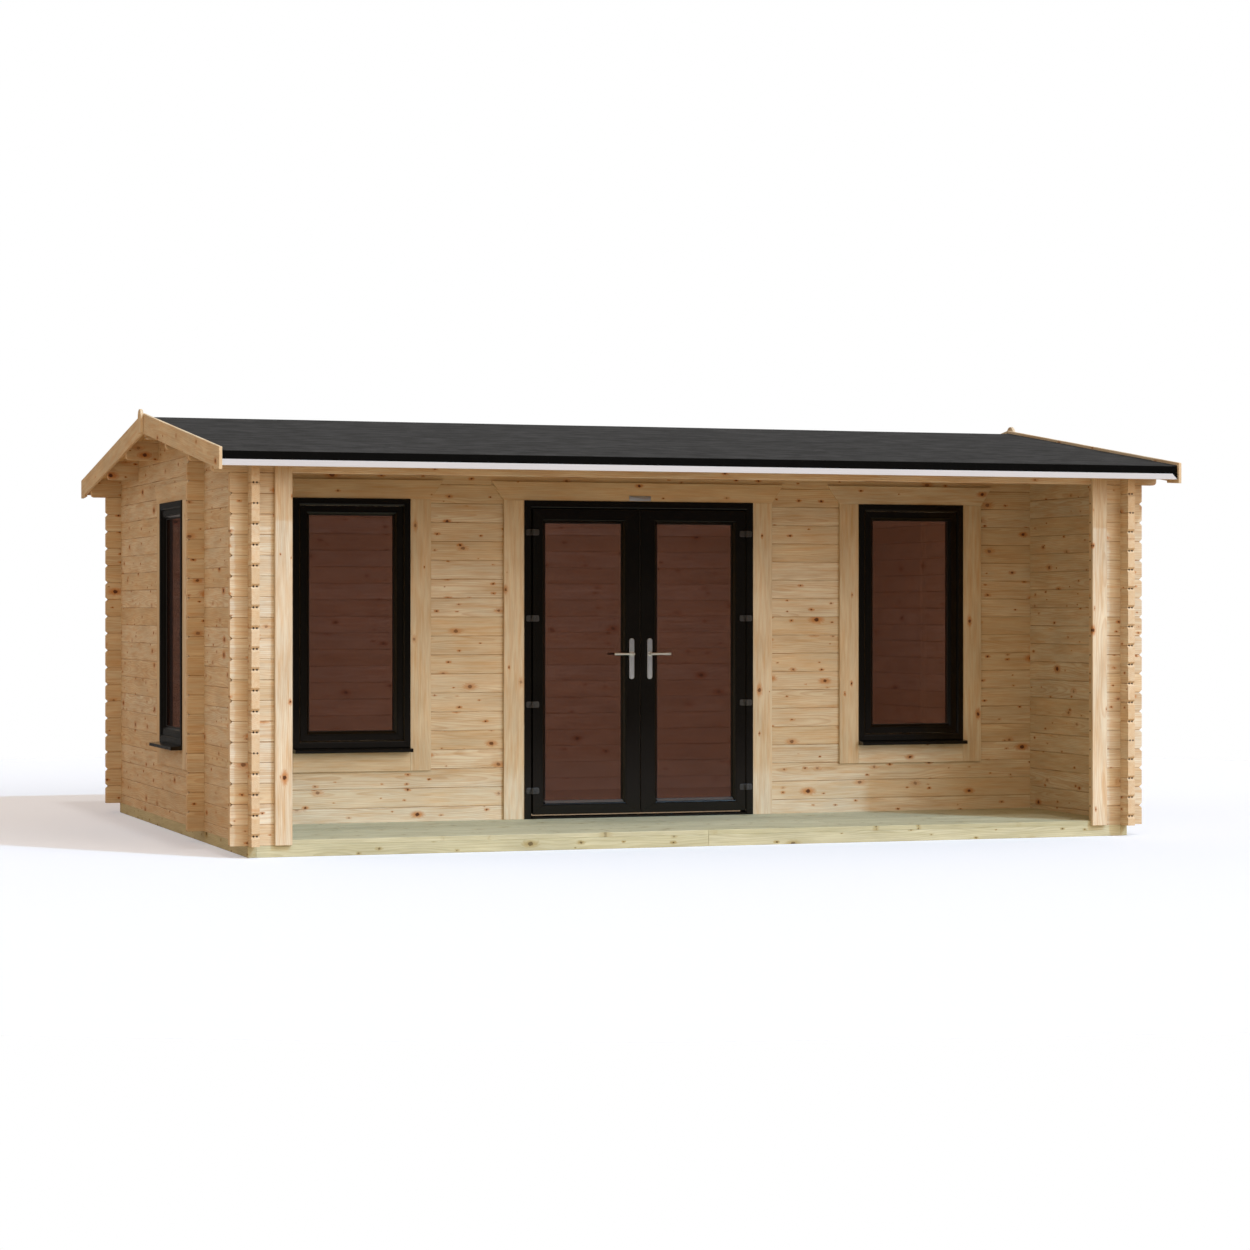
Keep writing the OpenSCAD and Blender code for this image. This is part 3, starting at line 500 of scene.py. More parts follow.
# Base: side bearers, front and back bearers in two lengths, and joists between them
bearerSet = {"width": 0.045, "joistGap": 0.62, "edge": 0.002}
inner = halfWidth - bearerSet["width"]
innerY = halfDepth - bearerSet["width"]
boards = []
for side in (-1, 1):
    boards.append(plank((min(side * halfWidth, side * inner), -halfDepth, 0),
                        (max(side * halfWidth, side * inner), halfDepth, groundTimberTop), "y"))
    for half in (-1, 1):
        y0, y1 = sorted((side * halfDepth, side * innerY))
        x0, x1 = sorted((half * sizes["seam"], half * (inner - sizes["seam"])))
        boards.append(plank((x0, y0, 0), (x1, y1, groundTimberTop), "x"))
bays = math.ceil(2 * inner / bearerSet["joistGap"])
for i in range(1, bays):
    x = -inner + i * 2 * inner / bays
    boards.append(plank((x - bearerSet["width"] / 2, -innerY + sizes["seam"], 0),
                        (x + bearerSet["width"] / 2, innerY - sizes["seam"], groundTimberTop), "y"))
finishPiece(makeBoards("bearerBoards", boards, bearerSet["edge"]), treatedPine,
            stands=["bearers"])

# Deck and room floor: rows of boards whose joints step from row to row
deckSet = {"rows": 10, "longest": 2.7, "between": 0.7, "gap": 0.0012, "edge": 0.0018}
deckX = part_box("porch_deck")[1].x
deckFront, deckBack = -halfDepth, frontWall
notchY = -halfDepth + sizes["logThickness"]
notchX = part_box("porch_wall_right")[0].x
rowWidth = (deckBack - deckFront) / deckSet["rows"]
boards = []
for row in range(deckSet["rows"]):
    y0 = deckFront + row * rowWidth + (deckSet["gap"] / 2 if row else 0)
    y1 = deckFront + (row + 1) * rowWidth - deckSet["gap"] / 2
    cuts = splitRun(-deckX, deckX, deckSet["longest"] * (deckSet["between"] if row % 2 else 1))
    for x0, x1 in cuts:
        x0, x1 = x0 + sizes["seam"], x1 - sizes["seam"]
        if row:
            boards.append(plank((x0, y0, groundTimberTop), (x1, y1, floorTop), "x"))
            continue
        # the first row is notched round the porch walls
        start, end, notch = max(x0, -notchX) - x0, min(x1, notchX) - x0, notchY - y0
        outline = [(start, 0), (end, 0), (end, notch), (x1 - x0, notch), (x1 - x0, y1 - y0), (0, y1 - y0),
                   (0, notch), (start, notch)]
        outline = [p for i, p in enumerate(outline) if p != outline[i - 1]]
        boards.append({"outline": outline, "origin": Vector((x0, y0, groundTimberTop)), "u": axes["x"],
                       "v": axes["y"], "n": axes["z"], "thickness": floorTop - groundTimberTop})
finishPiece(makeBoards("deckBoards", boards, deckSet["edge"]), treatedPine,
            stands=["porch_deck"])

floorSet = {"rows": 23, "longest": 3.0, "between": 0.6, "gap": 0.001, "edge": 0.001}
roomLow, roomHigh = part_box("room_floor")
roomFront = frontWall + sizes["logThickness"]
rowWidth = (roomHigh.y - roomFront) / floorSet["rows"]
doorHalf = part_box("door_frame")[1].x
boards = [plank((-doorHalf, frontWall, groundTimberTop), (doorHalf, roomFront - floorSet["gap"], floorTop),
                "x")]
for row in range(floorSet["rows"]):
    y0 = roomFront + row * rowWidth
    cuts = splitRun(roomLow.x, roomHigh.x, floorSet["longest"] * (1 if row % 2 else floorSet["between"]))
    boards += [plank((x0 + sizes["seam"], y0, groundTimberTop),
                     (x1 - sizes["seam"], y0 + rowWidth - floorSet["gap"], floorTop), "x") for x0, x1 in cuts]
finishPiece(makeBoards("roomFloorBoards", boards, floorSet["edge"]), spruceBoards,
            stands=["room_floor"])
print("base, deck and floor made")


# Cover boards at the inner ends of the porch walls
coverSet = {"width": 0.095, "edge": 0.0015}
coverLow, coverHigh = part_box("porch_cover_boards")
boards = []
for side in (-1, 1):
    x0, x1 = sorted((side * coverHigh.x, side * (coverHigh.x - coverSet["width"])))
    boards.append(plank((x0, coverLow.y, coverLow.z), (x1, coverHigh.y, coverHigh.z), "z"))
finishPiece(makeBoards("coverBoards", boards, coverSet["edge"]), spruceBoards,
            stands=["porch_cover_boards"])

# Roof boards, which run from the eaves to the ridge
roofSet = {"boardWidth": 0.095, "gap": 0.0015, "edge": 0.0015, "thickness": 0.022}
slope = (boardsHigh.z - boardsLow.z - roofSet["thickness"]) / -boardsLow.y
tilt = math.atan(slope)
count = round((boardsHigh.x - boardsLow.x) / roofSet["boardWidth"])
step = (boardsHigh.x - boardsLow.x) / count
# the boards' ends are cut upright, so an outline leans back by this much
leanX, leanZ = roofSet["thickness"] * math.sin(tilt), roofSet["thickness"] * math.cos(tilt)
length = (-boardsLow.y - sizes["seam"]) / math.cos(tilt)
boards = []
for side in (-1, 1):
    for i in range(count):
        x = boardsLow.x + i * step + roofSet["gap"] / 2
        boards.append({"outline": [(0, 0), (length, 0), (length + leanX, leanZ), (leanX, leanZ)],
                       "origin": Vector((x, side * -boardsLow.y, boardsLow.z)),
                       "u": Vector((0, -side * math.cos(tilt), math.sin(tilt))),
                       "v": Vector((0, side * math.sin(tilt), math.cos(tilt))), "n": axes["x"],
                       "thickness": step - roofSet["gap"]})
finishPiece(makeBoards("roofDeckBoards", boards, roofSet["edge"]), roofTimber,
            stands=["roof_boards"])

# Felt: a sheet to a slope, with a rounded nose at the eaves, above a fold of smooth bitumen edge
feltLow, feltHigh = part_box("roof_felt")
foldSet = {"thickness": 0.004, "edge": 0.001, "under": 0.0012}
feltSet = {"thickness": 0.004, "strip": 0.98, "lap": 0.0016, "noseRadius": 0.004, "noseSteps": 5,
           "filletWidth": 0.03, "filletHeight": 0.005, "filletSteps": 4, "rows": 70, "columns": 150,
           "wave": 0.0007}


def feltHeight(x, run):
    # small waves, a step at each lap of two strips, and the turned-up edge over a fillet at the verge
    wave = math.sin(x * 2.3 + run * 4.1) + math.sin(x * 5.9 - run * 2.7) * 0.6 + math.sin(run * 9.0 + x) * 0.5
    lap = (run % feltSet["strip"]) / feltSet["strip"]
    verge = max(0.0, 1 - (feltHigh.x - abs(x)) / feltSet["filletWidth"])
    return feltSet["wave"] * wave * 0.5 + feltSet["lap"] * (lap - 1) + feltSet["filletHeight"] * verge ** 1.3


def feltSheet(name, side):
    radius, rows, columns = feltSet["noseRadius"], feltSet["rows"], feltSet["columns"]
    top = feltHigh.z - sizes["seam"] * slope
    eave = -feltLow.y - foldSet["thickness"] - sizes["seam"]
    flat = eave - radius                 # from here to the ridge the sheet lies flat
    xs = [feltHigh.x * (i / columns * 2 - 1) for i in range(columns + 1)]
    for k in range(1, feltSet["filletSteps"] + 1):
        across = feltHigh.x - feltSet["filletWidth"] * k / (feltSet["filletSteps"] + 0.5)
        xs += [-across, across]
    xs = sorted(set(round(x, 5) for x in xs))
    points = []                          # (run from the ridge, drop at the nose), from the eaves up
    for k in range(feltSet["noseSteps"]):
        turn = math.pi / 2 * k / feltSet["noseSteps"]
        points.append((flat + radius * math.cos(turn), -radius + radius * math.sin(turn)))
    points += [(flat - (flat - sizes["seam"]) * i / rows, 0.0) for i in range(rows + 1)]
    vertices, faces = [], []
    for x in xs:
        for run, drop in points:
            level = top - slope * min(run, flat)
            vertices.append((x, side * run, level + drop + feltHeight(x, min(run, flat))))
        for run, drop in points:
            level = top - slope * run - feltSet["thickness"] + 0.0002
            vertices.append((x, side * min(run, eave - 0.001), level))
    per = len(points)
    for i in range(len(xs) - 1):
        a, b = i * 2 * per, (i + 1) * 2 * per
        for j in range(per - 1):
            faces.append((a + j, b + j, b + j + 1, a + j + 1))
            faces.append((a + per + j + 1, b + per + j + 1, b + per + j, a + per + j))
        faces.append((a, a + per, b + per, b))
        faces.append((a + per - 1, b + per - 1, b + 2 * per - 1, a + 2 * per - 1))
    for a, flip in ((0, 1), ((len(xs) - 1) * 2 * per, -1)):
        for j in range(per - 1):
            faces.append((a + j, a + j + 1, a + per + j + 1, a + per + j)[::flip])
    if side > 0:
        faces = [f[::-1] for f in faces]
    piece = meshPiece(name, vertices, faces)
    piece.data.shade_smooth()
    return piece


for side, name in ((-1, "frontFelt"), (1, "backFelt")):
    finishPiece(feltSheet(name, side), felt, stands=["roof_felt"])

boards = []
foldTop = feltHigh.z - slope * -feltLow.y - foldSet["under"]
for side in (-1, 1):
    y0, y1 = sorted((side * -feltLow.y, side * (-feltLow.y - foldSet["thickness"])))
    boards.append(plank((feltLow.x, y0, feltLow.z), (feltHigh.x, y1, foldTop), "x"))
finishPiece(makeBoards("eavesFold", boards, foldSet["edge"]), bitumen, stands=["roof_felt"])

# Eaves strips: the right end is cut at a slant over the returned fold, as seen from outside
stripSet = {"thickness": 0.01, "returned": 0.008, "edge": 0.001, "returnedEdge": 0.00025}
stripLow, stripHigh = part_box("eaves_strips")
length, height = stripHigh.x - stripLow.x, stripHigh.z - stripLow.z
slant = [(0, 0), (length, 0), (length - height, height), (0, height)]
corner = [(length, sizes["seam"]), (length, height), (length - height + sizes["seam"], height)]
strips, corners = [], []
for side in (-1, 1):
    origin = Vector((side * stripHigh.x, side * (stripHigh.y - stripSet["thickness"]), stripLow.z))
    for outline, deep, row in ((slant, "thickness", strips), (corner, "returned", corners)):
        row.append({"outline": outline, "origin": origin, "u": axes["x"] * -side, "v": axes["z"],
                    "n": axes["y"] * side, "thickness": stripSet[deep]})
finishPiece(makeBoards("eavesStrips", strips, stripSet["edge"]), whiteUpvc,
            stands=["eaves_strips"])
finishPiece(makeBoards("foldReturns", corners, stripSet["returnedEdge"]), bitumen)

# Bargeboards, drawn along the slope: u up the slope from the eaves, v square to it. Their feet are a
# little deeper than the rest.
bargeSet = {"height": 0.12, "foot": 0.146, "step": 0.012, "edge": 0.002, "plateWidth": 0.1, "plateSteps": 16}
bargeLow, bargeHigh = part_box("right_bargeboards")
run, foot, stretch = -bargeLow.y, -bargeLow.y - bargeSet["foot"], math.sqrt(1 + slope * slope)
eaveZ, footZ, ridgeZ = (bargeHigh.z - bargeSet["height"] - slope * y for y in (run, foot, 0))
for name, x0, node in (("leftBargeboards", -bargeHigh.x, "left_bargeboards"),
                       ("rightBargeboards", bargeLow.x, "right_bargeboards")):
    boards = []
    for side in (-1, 1):
        u = Vector((0, -side / stretch, slope / stretch))
        v = Vector((0, side * slope / stretch, 1 / stretch))
        origin = Vector((x0, side * run, eaveZ))
        corners = [(run, eaveZ), (foot, footZ - bargeSet["step"]), (foot, footZ), (sizes["seam"], ridgeZ),
                   (sizes["seam"], bargeHigh.z), (run, eaveZ + bargeSet["height"])]
        points = [Vector((x0, side * y, z)) - origin for y, z in corners]
        boards.append({"outline": [(point.dot(u), point.dot(v)) for point in points], "origin": origin,
                       "u": u, "v": v, "n": axes["x"], "thickness": bargeHigh.x - bargeLow.x})
    finishPiece(makeBoards(name, boards, bargeSet["edge"]), spruceBoards, stands=[node])

# Plates over the joint of the bargeboards, with round tops
plateLow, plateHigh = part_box("gable_plates")
radius, steps = bargeSet["plateWidth"] / 2, bargeSet["plateSteps"]
middle = plateHigh.z - plateLow.z - radius
outline = [(0, radius), (0, -radius)]
for k in range(steps + 1):
    turn = math.pi * k / steps
    outline.append((middle + radius * math.sin(turn), -radius * math.cos(turn)))
boards = []
for side in (-1, 1):
    origin = Vector((min(side * bargeHigh.x, side * plateHigh.x), 0, plateLow.z))
    boards.append({"outline": outline, "origin": origin, "u": axes["z"], "v": axes["y"], "n": axes["x"],
                   "thickness": plateHigh.x - bargeHigh.x})
finishPiece(makeBoards("apexPlates", boards, bargeSet["edge"]), spruceBoards,
            stands=["gable_plates"])
print("roof made")


# Boards round the doors and windows: two uprights, a head board with slanted ends, and under a window a
# foot board below the sill
trimSet = {"width": 0.126, "head": 0.112, "slant": 0.075, "edge": 0.0015}
trimLow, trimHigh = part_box("front_window_trim")
headZ = trimHigh.z - trimSet["head"]
windowLow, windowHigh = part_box("front_right_window")
windowHalf, windowX = (windowHigh.x - windowLow.x) / 2, (windowHigh.x + windowLow.x) / 2
sideWindowY = sum(corner.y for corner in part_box("right_side_window")) / 2
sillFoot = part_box("window_sills")[0].z
trimThickness = frontWall - trimLow.y


def trimBoards(centre, right, out, half, foot, footBoard):
    # centre is the opening's middle on the wall face; right runs along the wall, out away from it
    seam, outer = sizes["seam"], half + trimSet["width"]
    tip = outer + trimSet["slant"]
    parts = [([(foot, x0), (headZ - seam, x0), (headZ - seam, x1), (foot, x1)], "z")
             for x0, x1 in ((-outer, -half), (half, outer))]
    parts.append(([(-outer, headZ), (outer, headZ), (tip, trimHigh.z), (-tip, trimHigh.z)], "x"))
    if footBoard:
        parts.append((rectangle(-half + seam, foot, half - seam, sillFoot), "x"))
    for outline, grain in parts:
        u, v = (axes["z"], right) if grain == "z" else (right, axes["z"])
        yield {"outline": outline, "origin": centre.copy(), "u": u, "v": v, "n": out,
               "thickness": trimThickness}


boards = []
for x in (-windowX, windowX):
    boards += trimBoards(Vector((x, frontWall, 0)), axes["x"], front, windowHalf, trimLow.z, True)
finishPiece(makeBoards("frontWindowBoards", boards, trimSet["edge"]), spruceBoards,
            stands=["front_window_trim"])
boards = []
for out in (left, right):
    centre = Vector((out.x * halfWidth, sideWindowY, 0))
    boards += trimBoards(centre, axes["y"], out, windowHalf, trimLow.z, True)
finishPiece(makeBoards("sideWindowBoards", boards, trimSet["edge"]), spruceBoards,
            stands=["side_window_trim"])
boards = list(trimBoards(Vector((0, frontWall, 0)), axes["x"], front, doorHalf, floorTop, False))
finishPiece(makeBoards("doorBoards", boards, trimSet["edge"]), spruceBoards,
            stands=["door_trim"])
print("trims made")


def sweep(outer, inner, profile, lay, closed=True):
    # Carries a profile round a row of corners. Each corner is given on the outer and the inner edge; a
    # profile point is (edge, distance towards the other edge, depth), with edge 0 the outer one. lay turns
    # (across, height, depth) into a place. Every corner has a shallow groove where the lengths are welded.
    count = len(outer)
    corners = [(Vector(o), Vector(i)) for o, i in zip(outer, inner)]
    vertices, faces = [], []

    def heading(i):
        return (corners[(i + 1) % count][0] - corners[i][0]).normalized()

    rings = 0
    for i, (o, n) in enumerate(corners):
        first, last = not closed and i == 0, not closed and i == count - 1
        before = None if first else heading((i - 1) % count)
        after = None if last else heading(i)
        shift = Vector([math.copysign(1, gap) if abs(gap) > 1e-6 else 0 for gap in n - o])
        steps = [(-before * weldSet["width"] if before else None, 0), (Vector((0, 0)), weldSet["depth"]),
                 (after * weldSet["width"] if after else None, 0)]
        if first or last:
            steps = [(Vector((0, 0)), 0)]
        for along, sink in steps:
            for edge, distance, depth in profile:
                point = (o + shift * distance if edge == 0 else n - shift * distance) + along
                vertices.append(lay(point.x, point.y, depth - (sink if depth > weldSet["front"] else 0)))
            rings += 1
    per = len(profile)
    for r in range(rings if closed else rings - 1):
        a, b = r * per, (r + 1) % rings * per
        for k in range(per):
            j = (k + 1) % per
            faces.append((a + k, a + j, b + j, b + k))
    if not closed:
        faces += [tuple(range(per)), tuple(range((rings - 1) * per, rings * per))[::-1]]
    return vertices, faces


def joinery(name, parts, material, body="root", stands=()):
    vertices, faces = [], []
    for points, polygons in parts:
        faces += [[len(vertices) + i for i in polygon] for polygon in polygons]
        vertices += points
    piece = meshPiece(name, vertices, faces)
    shape = bmesh.new()
    shape.from_mesh(piece.data)
    bmesh.ops.recalc_face_normals(shape, faces=shape.faces)
    shape.to_mesh(piece.data)
    shape.free()
    return finishPiece(piece, material, body, stands)


def shrink(corners, by):
    (x0, z0), (x1, z1) = corners[0], corners[2]
    return rectangle(x0 + by, z0 + by, x1 - by, z1 - by)


def sealRound(opening, profile, lay):
    # a seal that starts just under the sash round a pane
    return sweep(shrink(opening, -0.001), shrink(opening, windowSet["gasket"]), profile, lay)


# The grooves of the welds at the corners, cut only into what lies in front of a depth
weldSet = {"width": 0.0012, "depth": 0.0007, "front": -0.02}
windowSet = {"frame": 0.044, "sash": 0.054, "proud": 0.026, "glass": 0.030, "pane": 0.006, "bite": 0.0125,
             "gasket": 0.0035}
bite = windowSet["bite"]                 # how deep a pane sits in its sash
glassFront = windowSet["proud"] - windowSet["glass"] + sizes["seam"]
glassBack = glassFront - windowSet["pane"] - 2 * sizes["seam"]
logBack = -sizes["logThickness"]
# both profiles run from the back of the outer edge round the front to the back of the inner edge
frameProfile = [(0, 0.0003, logBack), (0, 0.0003, 0.0232), (0, 0.0011, 0.0252), (0, 0.003, 0.026),
                (1, 0.0105, 0.026), (1, 0.0085, 0.0252), (1, 0.0012, 0.0205), (1, 0.0003, 0.0185),
                (1, 0.0003, logBack)]
sashProfile = [(0, 0.0008, logBack + 0.001), (0, 0.0008, 0.0145), (0, 0.0014, 0.0162), (0, 0.003, 0.017),
               (1, 0.0225, 0.017), (1, 0.0215, 0.0158), (1, 0.0205, 0.0158), (1, 0.0195, 0.0168),
               (1, 0.0165, 0.0168), (1, 0.0145, 0.0158), (1, 0.0035, 0.0055), (1, 0.0008, 0.0015),
               (1, 0.0003, glassFront), (1, bite, glassFront), (1, bite, glassBack),
               (1, 0.0003, glassBack), (1, 0.0003, -0.034), (1, 0.012, -0.043)]
gasketProfile = [(0, 0, glassFront), (0, 0, 0.0015), (1, 0.001, 0.0008), (1, 0, -0.001), (1, 0, glassFront)]

windowPlaces = {
    "front_left_window": (Vector((-windowX, frontWall, 0)), axes["x"], front),
    "front_right_window": (Vector((windowX, frontWall, 0)), axes["x"], front),
    "left_side_window": (Vector((-halfWidth, sideWindowY, 0)), -axes["y"], left),
    "right_side_window": (Vector((halfWidth, sideWindowY, 0)), axes["y"], right),
}
seals = []
for node, place in windowPlaces.items():
    lay = layOn(*place)
    edge = rectangle(-windowHalf, windowLow.z, windowHalf, windowHigh.z)
    meeting = shrink(edge, windowSet["frame"])
    opening = shrink(meeting, windowSet["sash"])
    first, *others = node.split("_")
    joinery(first + "".join(word.capitalize() for word in others) + "Frame",
            [sweep(edge, meeting, frameProfile, lay), sweep(meeting, opening, sashProfile, lay)],
            upvc, stands=[node])
    seals.append(sealRound(opening, gasketProfile, lay))
joinery("windowSeals", seals, rubber)

# Sills: a sloping top with a rounded nose, a drip groove under it, and capped ends
sillSet = {"height": 0.026, "run": 0.088, "nose": 0.0195, "groove": 0.004, "cap": 0.003}
run, nose, groove = sillSet["run"], sillSet["nose"], sillSet["groove"]
sillOutline = [(logBack, 0), (run - 0.022, 0), (run - 0.021, groove), (run - 0.015, groove), (run - 0.014, 0),
               (run - 0.002, 0), (run, 0.002), (run, nose - 0.003), (run - 0.0025, nose),
               (windowSet["proud"], sillSet["height"]), (logBack, sillSet["height"])]
capOutline = [(0.002, 0), (run, 0), (run, nose), (windowSet["proud"], sillSet["height"]),
              (0.002, sillSet["height"])]


def prism(outline, lay, x0, x1):
    # an outline of (depth, height) drawn out from x0 to x1
    per = len(outline)
    points = [lay(x, height, depth) for x in (x0, x1) for depth, height in outline]
    faces = [(k, (k + 1) % per, per + (k + 1) % per, per + k) for k in range(per)]
    return points, faces + [tuple(range(per))[::-1], tuple(range(per, 2 * per))]


parts = []
for node, (centre, across, out) in windowPlaces.items():
    lay = layOn(centre + axes["z"] * sillFoot, across, out)
    parts.append(prism(sillOutline, lay, -windowHalf + sillSet["cap"], windowHalf - sillSet["cap"]))
    for side in (-1, 1):
        x0, x1 = sorted((side * windowHalf, side * (windowHalf - sillSet["cap"] + 0.0002)))
        parts.append(prism(capOutline, lay, x0, x1))
joinery("windowSills", parts, upvc, stands=["window_sills"])

# Door frame: three lengths of one profile with a stop at the back, over a threshold in the same black uPVC
doorSet = {"jamb": 0.045, "threshold": 0.02, "stop": 0.055, "lap": 0.015, "stile": 0.083,
           "lockStile": 0.11, "rail": 0.08, "thickness": 0.05}
frameLow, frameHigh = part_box("door_frame")
depthBack = frameLow.y - frameHigh.y
doorPlace = layOn(Vector((0, frameLow.y, 0)), axes["x"], front)
lap, foot = doorSet["lap"], floorTop + sizes["seam"]
lip, lipTop = (size - doorSet["jamb"] - lap for size in (frameHigh.x, frameHigh.z))
edge, inside = ([(-x, foot), (-x, top), (x, top), (x, foot)]
                for x, top in ((frameHigh.x, frameHigh.z), (lip, lipTop)))
jambProfile = [(0, 0.0003, depthBack), (0, 0.0003, -0.003), (0, 0.0012, -0.0008), (0, 0.003, 0),
               (1, lap + 0.008, 0), (1, lap + 0.006, -0.0008), (1, lap + 0.0008, -0.005),
               (1, lap + 0.0003, -0.007), (1, lap + 0.0003, -doorSet["stop"]), (1, 0.0003, -doorSet["stop"]),
               (1, 0.0003, depthBack)]
thresholdOutline = [(depthBack, 0), (-0.0015, 0), (0, 0.0015), (0, 0.011), (-0.002, 0.013), (-0.012, 0.016),
                    (-0.016, 0.0192), (-0.05, 0.0192), (-0.053, doorSet["threshold"]),
                    (depthBack, doorSet["threshold"])]
lowPlace = layOn(Vector((0, frameLow.y, floorTop)), axes["x"], front)
joinery("doorFrame", [sweep(edge, inside, jambProfile, doorPlace, closed=False),
                      prism(thresholdOutline, lowPlace, -lip - 0.012, lip + 0.012)],
        upvc, stands=["door_frame"])

paneFront = -windowSet["glass"] + sizes["seam"]
paneBack = paneFront - windowSet["pane"] - 2 * sizes["seam"]
leafBack = -doorSet["thickness"]
leafProfile = [(0, 0.005, leafBack), (0, 0.005, -0.0155), (0, 0.0003, -0.0155), (0, 0.0003, -0.003),
               (0, 0.0012, -0.0008), (0, 0.003, 0), (1, 0.0255, 0), (1, 0.0245, -0.0011),
               (1, 0.0235, -0.0011), (1, 0.0225, -0.0002), (1, 0.019, -0.0004), (1, 0.0165, -0.0018),
               (1, 0.0035, -0.0175), (1, 0.0006, -0.023), (1, 0.0003, paneFront), (1, bite, paneFront),
               (1, bite, paneBack), (1, 0.0003, paneBack), (1, 0.0003, -0.041), (1, 0.012, leafBack)]
doorSeal = [(0, 0, paneFront), (0, 0, -0.0235), (1, 0.001, -0.0245), (1, 0, -0.0265), (1, 0, paneFront)]
# the bead along the foot of a pane, an outline of (depth, height)
weatherBead = [(-0.0012, -0.013), (0.0008, -0.0118), (-0.0215, 0.0022), (-0.0285, 0.0025), (-0.0285, 0.0006),
               (-0.0225, 0.0002)]
for side, word in ((1, "right"), (-1, "left")):
    low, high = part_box(word + "_door")
    near, outside = min(abs(low.x), abs(high.x)), max(abs(low.x), abs(high.x))
    lay = layOn(Vector((0, frameLow.y, 0)), axes["x"] * side, front)
    edge = rectangle(near, low.z, outside, high.z)
    opening = rectangle(near + doorSet["lockStile"], low.z + doorSet["rail"], outside - doorSet["stile"],
                        high.z - doorSet["stile"])
    body = word + "_door"
    joinery(word + "DoorLeaf", [sweep(edge, opening, leafProfile, lay)], upvc, body, [body])
    joinery(word + "DoorSeal", [sealRound(opening, doorSeal, lay)], rubber, body)
    if side < 0:         # a brush on the left door's meeting edge closes the gap between the doors
        brush = rectangle(-0.013, low.z + 0.004, -0.009, high.z - 0.004)
        joinery("meetingBrush", [prism(brush, lay, -near + 0.0006, near + 0.0006)], rubber,
                body)
    beadPlace = layOn(Vector((0, frameLow.y, opening[0][1])), axes["x"] * side, front)
    joinery(word + "DoorBead", [prism(weatherBead, beadPlace, opening[0][0] - 0.004, opening[1][0] + 0.004)],
            beadMetal, body)
print("windows and doors made")


sharpAngle = math.radians(40)            # a sharper edge than this isn't shaded smooth


def softBlock(name, shapes, material, body, stands, edge, segments=3):
    # rounded solids, each an outline of (across, height) between two depths of a place
    shape = bmesh.new()
    for outline, lay, near, deep in shapes:
        part, upper = solidBetween(*([lay(x, z, depth) for x, z in outline] for depth in (near, deep)))
        rim = [e for e in part.edges if e.verts[0] in upper and e.verts[1] in upper]
        bmesh.ops.bevel(part, geom=rim, offset=edge, segments=segments, profile=0.5, affect="EDGES")
        piece = bpy.data.meshes.new("part")
        part.to_mesh(piece)
        part.free()
        shape.from_mesh(piece)
        bpy.data.meshes.remove(piece)
    mesh = bpy.data.meshes.new(name)
    shape.to_mesh(mesh)
    shape.free()
    mesh.shade_smooth()
    mesh.set_sharp_from_angle(angle=sharpAngle)
    return finishPiece(newPiece(name, mesh), material, body, stands)


def roundedRectangle(x0, z0, x1, z1, radii, steps=6):
    # radii for the corners in the order low left, low right, high right, high left
    points = []
    corners = ((x0, z0, 1, 1), (x1, z0, -1, 1), (x1, z1, -1, -1), (x0, z1, 1, -1))
    for k, (cx, cz, sx, sz) in enumerate(corners):
        r = max(radii[k], 0.0002)
        for i in range(steps + 1):
            turn = math.pi + math.pi / 2 * (k + i / steps)
            points.append((cx + sx * r + r * math.cos(turn), cz + sz * r + r * math.sin(turn)))
    return points


def turned(outline, axisPlace, up, steps=32):
    # a solid of revolution: outline of (radius, distance) round an axis
    side = up.orthogonal().normalized()
    other = up.cross(side)
    points, faces = [], []
    for k in range(steps):
        turn = 2 * math.pi * k / steps
        ray = side * math.cos(turn) + other * math.sin(turn)
        points += [axisPlace + ray * r + up * d for r, d in outline]
    per = len(outline)
    for k in range(steps):
        a, b = k * per, (k + 1) % steps * per
        faces += [(a + i, a + i + 1, b + i + 1, b + i) for i in range(per - 1)]
    return points, faces


# Hinges: a plate and a web on the door and on the frame, screw caps, and a sleeve that turns on a pin
hingeSet = {"height": 0.038, "plate": 0.004, "width": 0.036, "knuckle": 0.008, "out": 0.012, "web": 0.009,
            "corner": 0.01, "shy": 0.0004, "cap": 0.004, "capRise": 0.001, "capFromEnd": 0.0105,
            "bore": 0.0047, "pin": 0.0044, "edge": 0.0012, "count": 4}
hingeLow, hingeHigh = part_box("frame_hinges")
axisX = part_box("right_door_hinges")[0].x + hingeSet["width"] + hingeSet["knuckle"]
hingeStep = (hingeHigh.z - hingeLow.z - hingeSet["height"] + 0.001) / (hingeSet["count"] - 1)
seam, r, corner, shy = sizes["seam"], hingeSet["knuckle"], hingeSet["corner"], hingeSet["shy"]
tall, half, near, cap = hingeSet["height"], hingeSet["height"] / 2, r - 0.0015, hingeSet["cap"]
bore, pin, top = hingeSet["bore"], hingeSet["pin"], hingeSet["height"] - 0.0012
capTop = hingeSet["plate"] + hingeSet["capRise"]
leafPlate = roundedRectangle(-near - hingeSet["width"], shy, -near, tall - shy, (corner, 0, 0, corner))
framePlate = roundedRectangle(near, shy, near + hingeSet["width"] - 0.004, tall - shy, (0, corner, corner, 0))
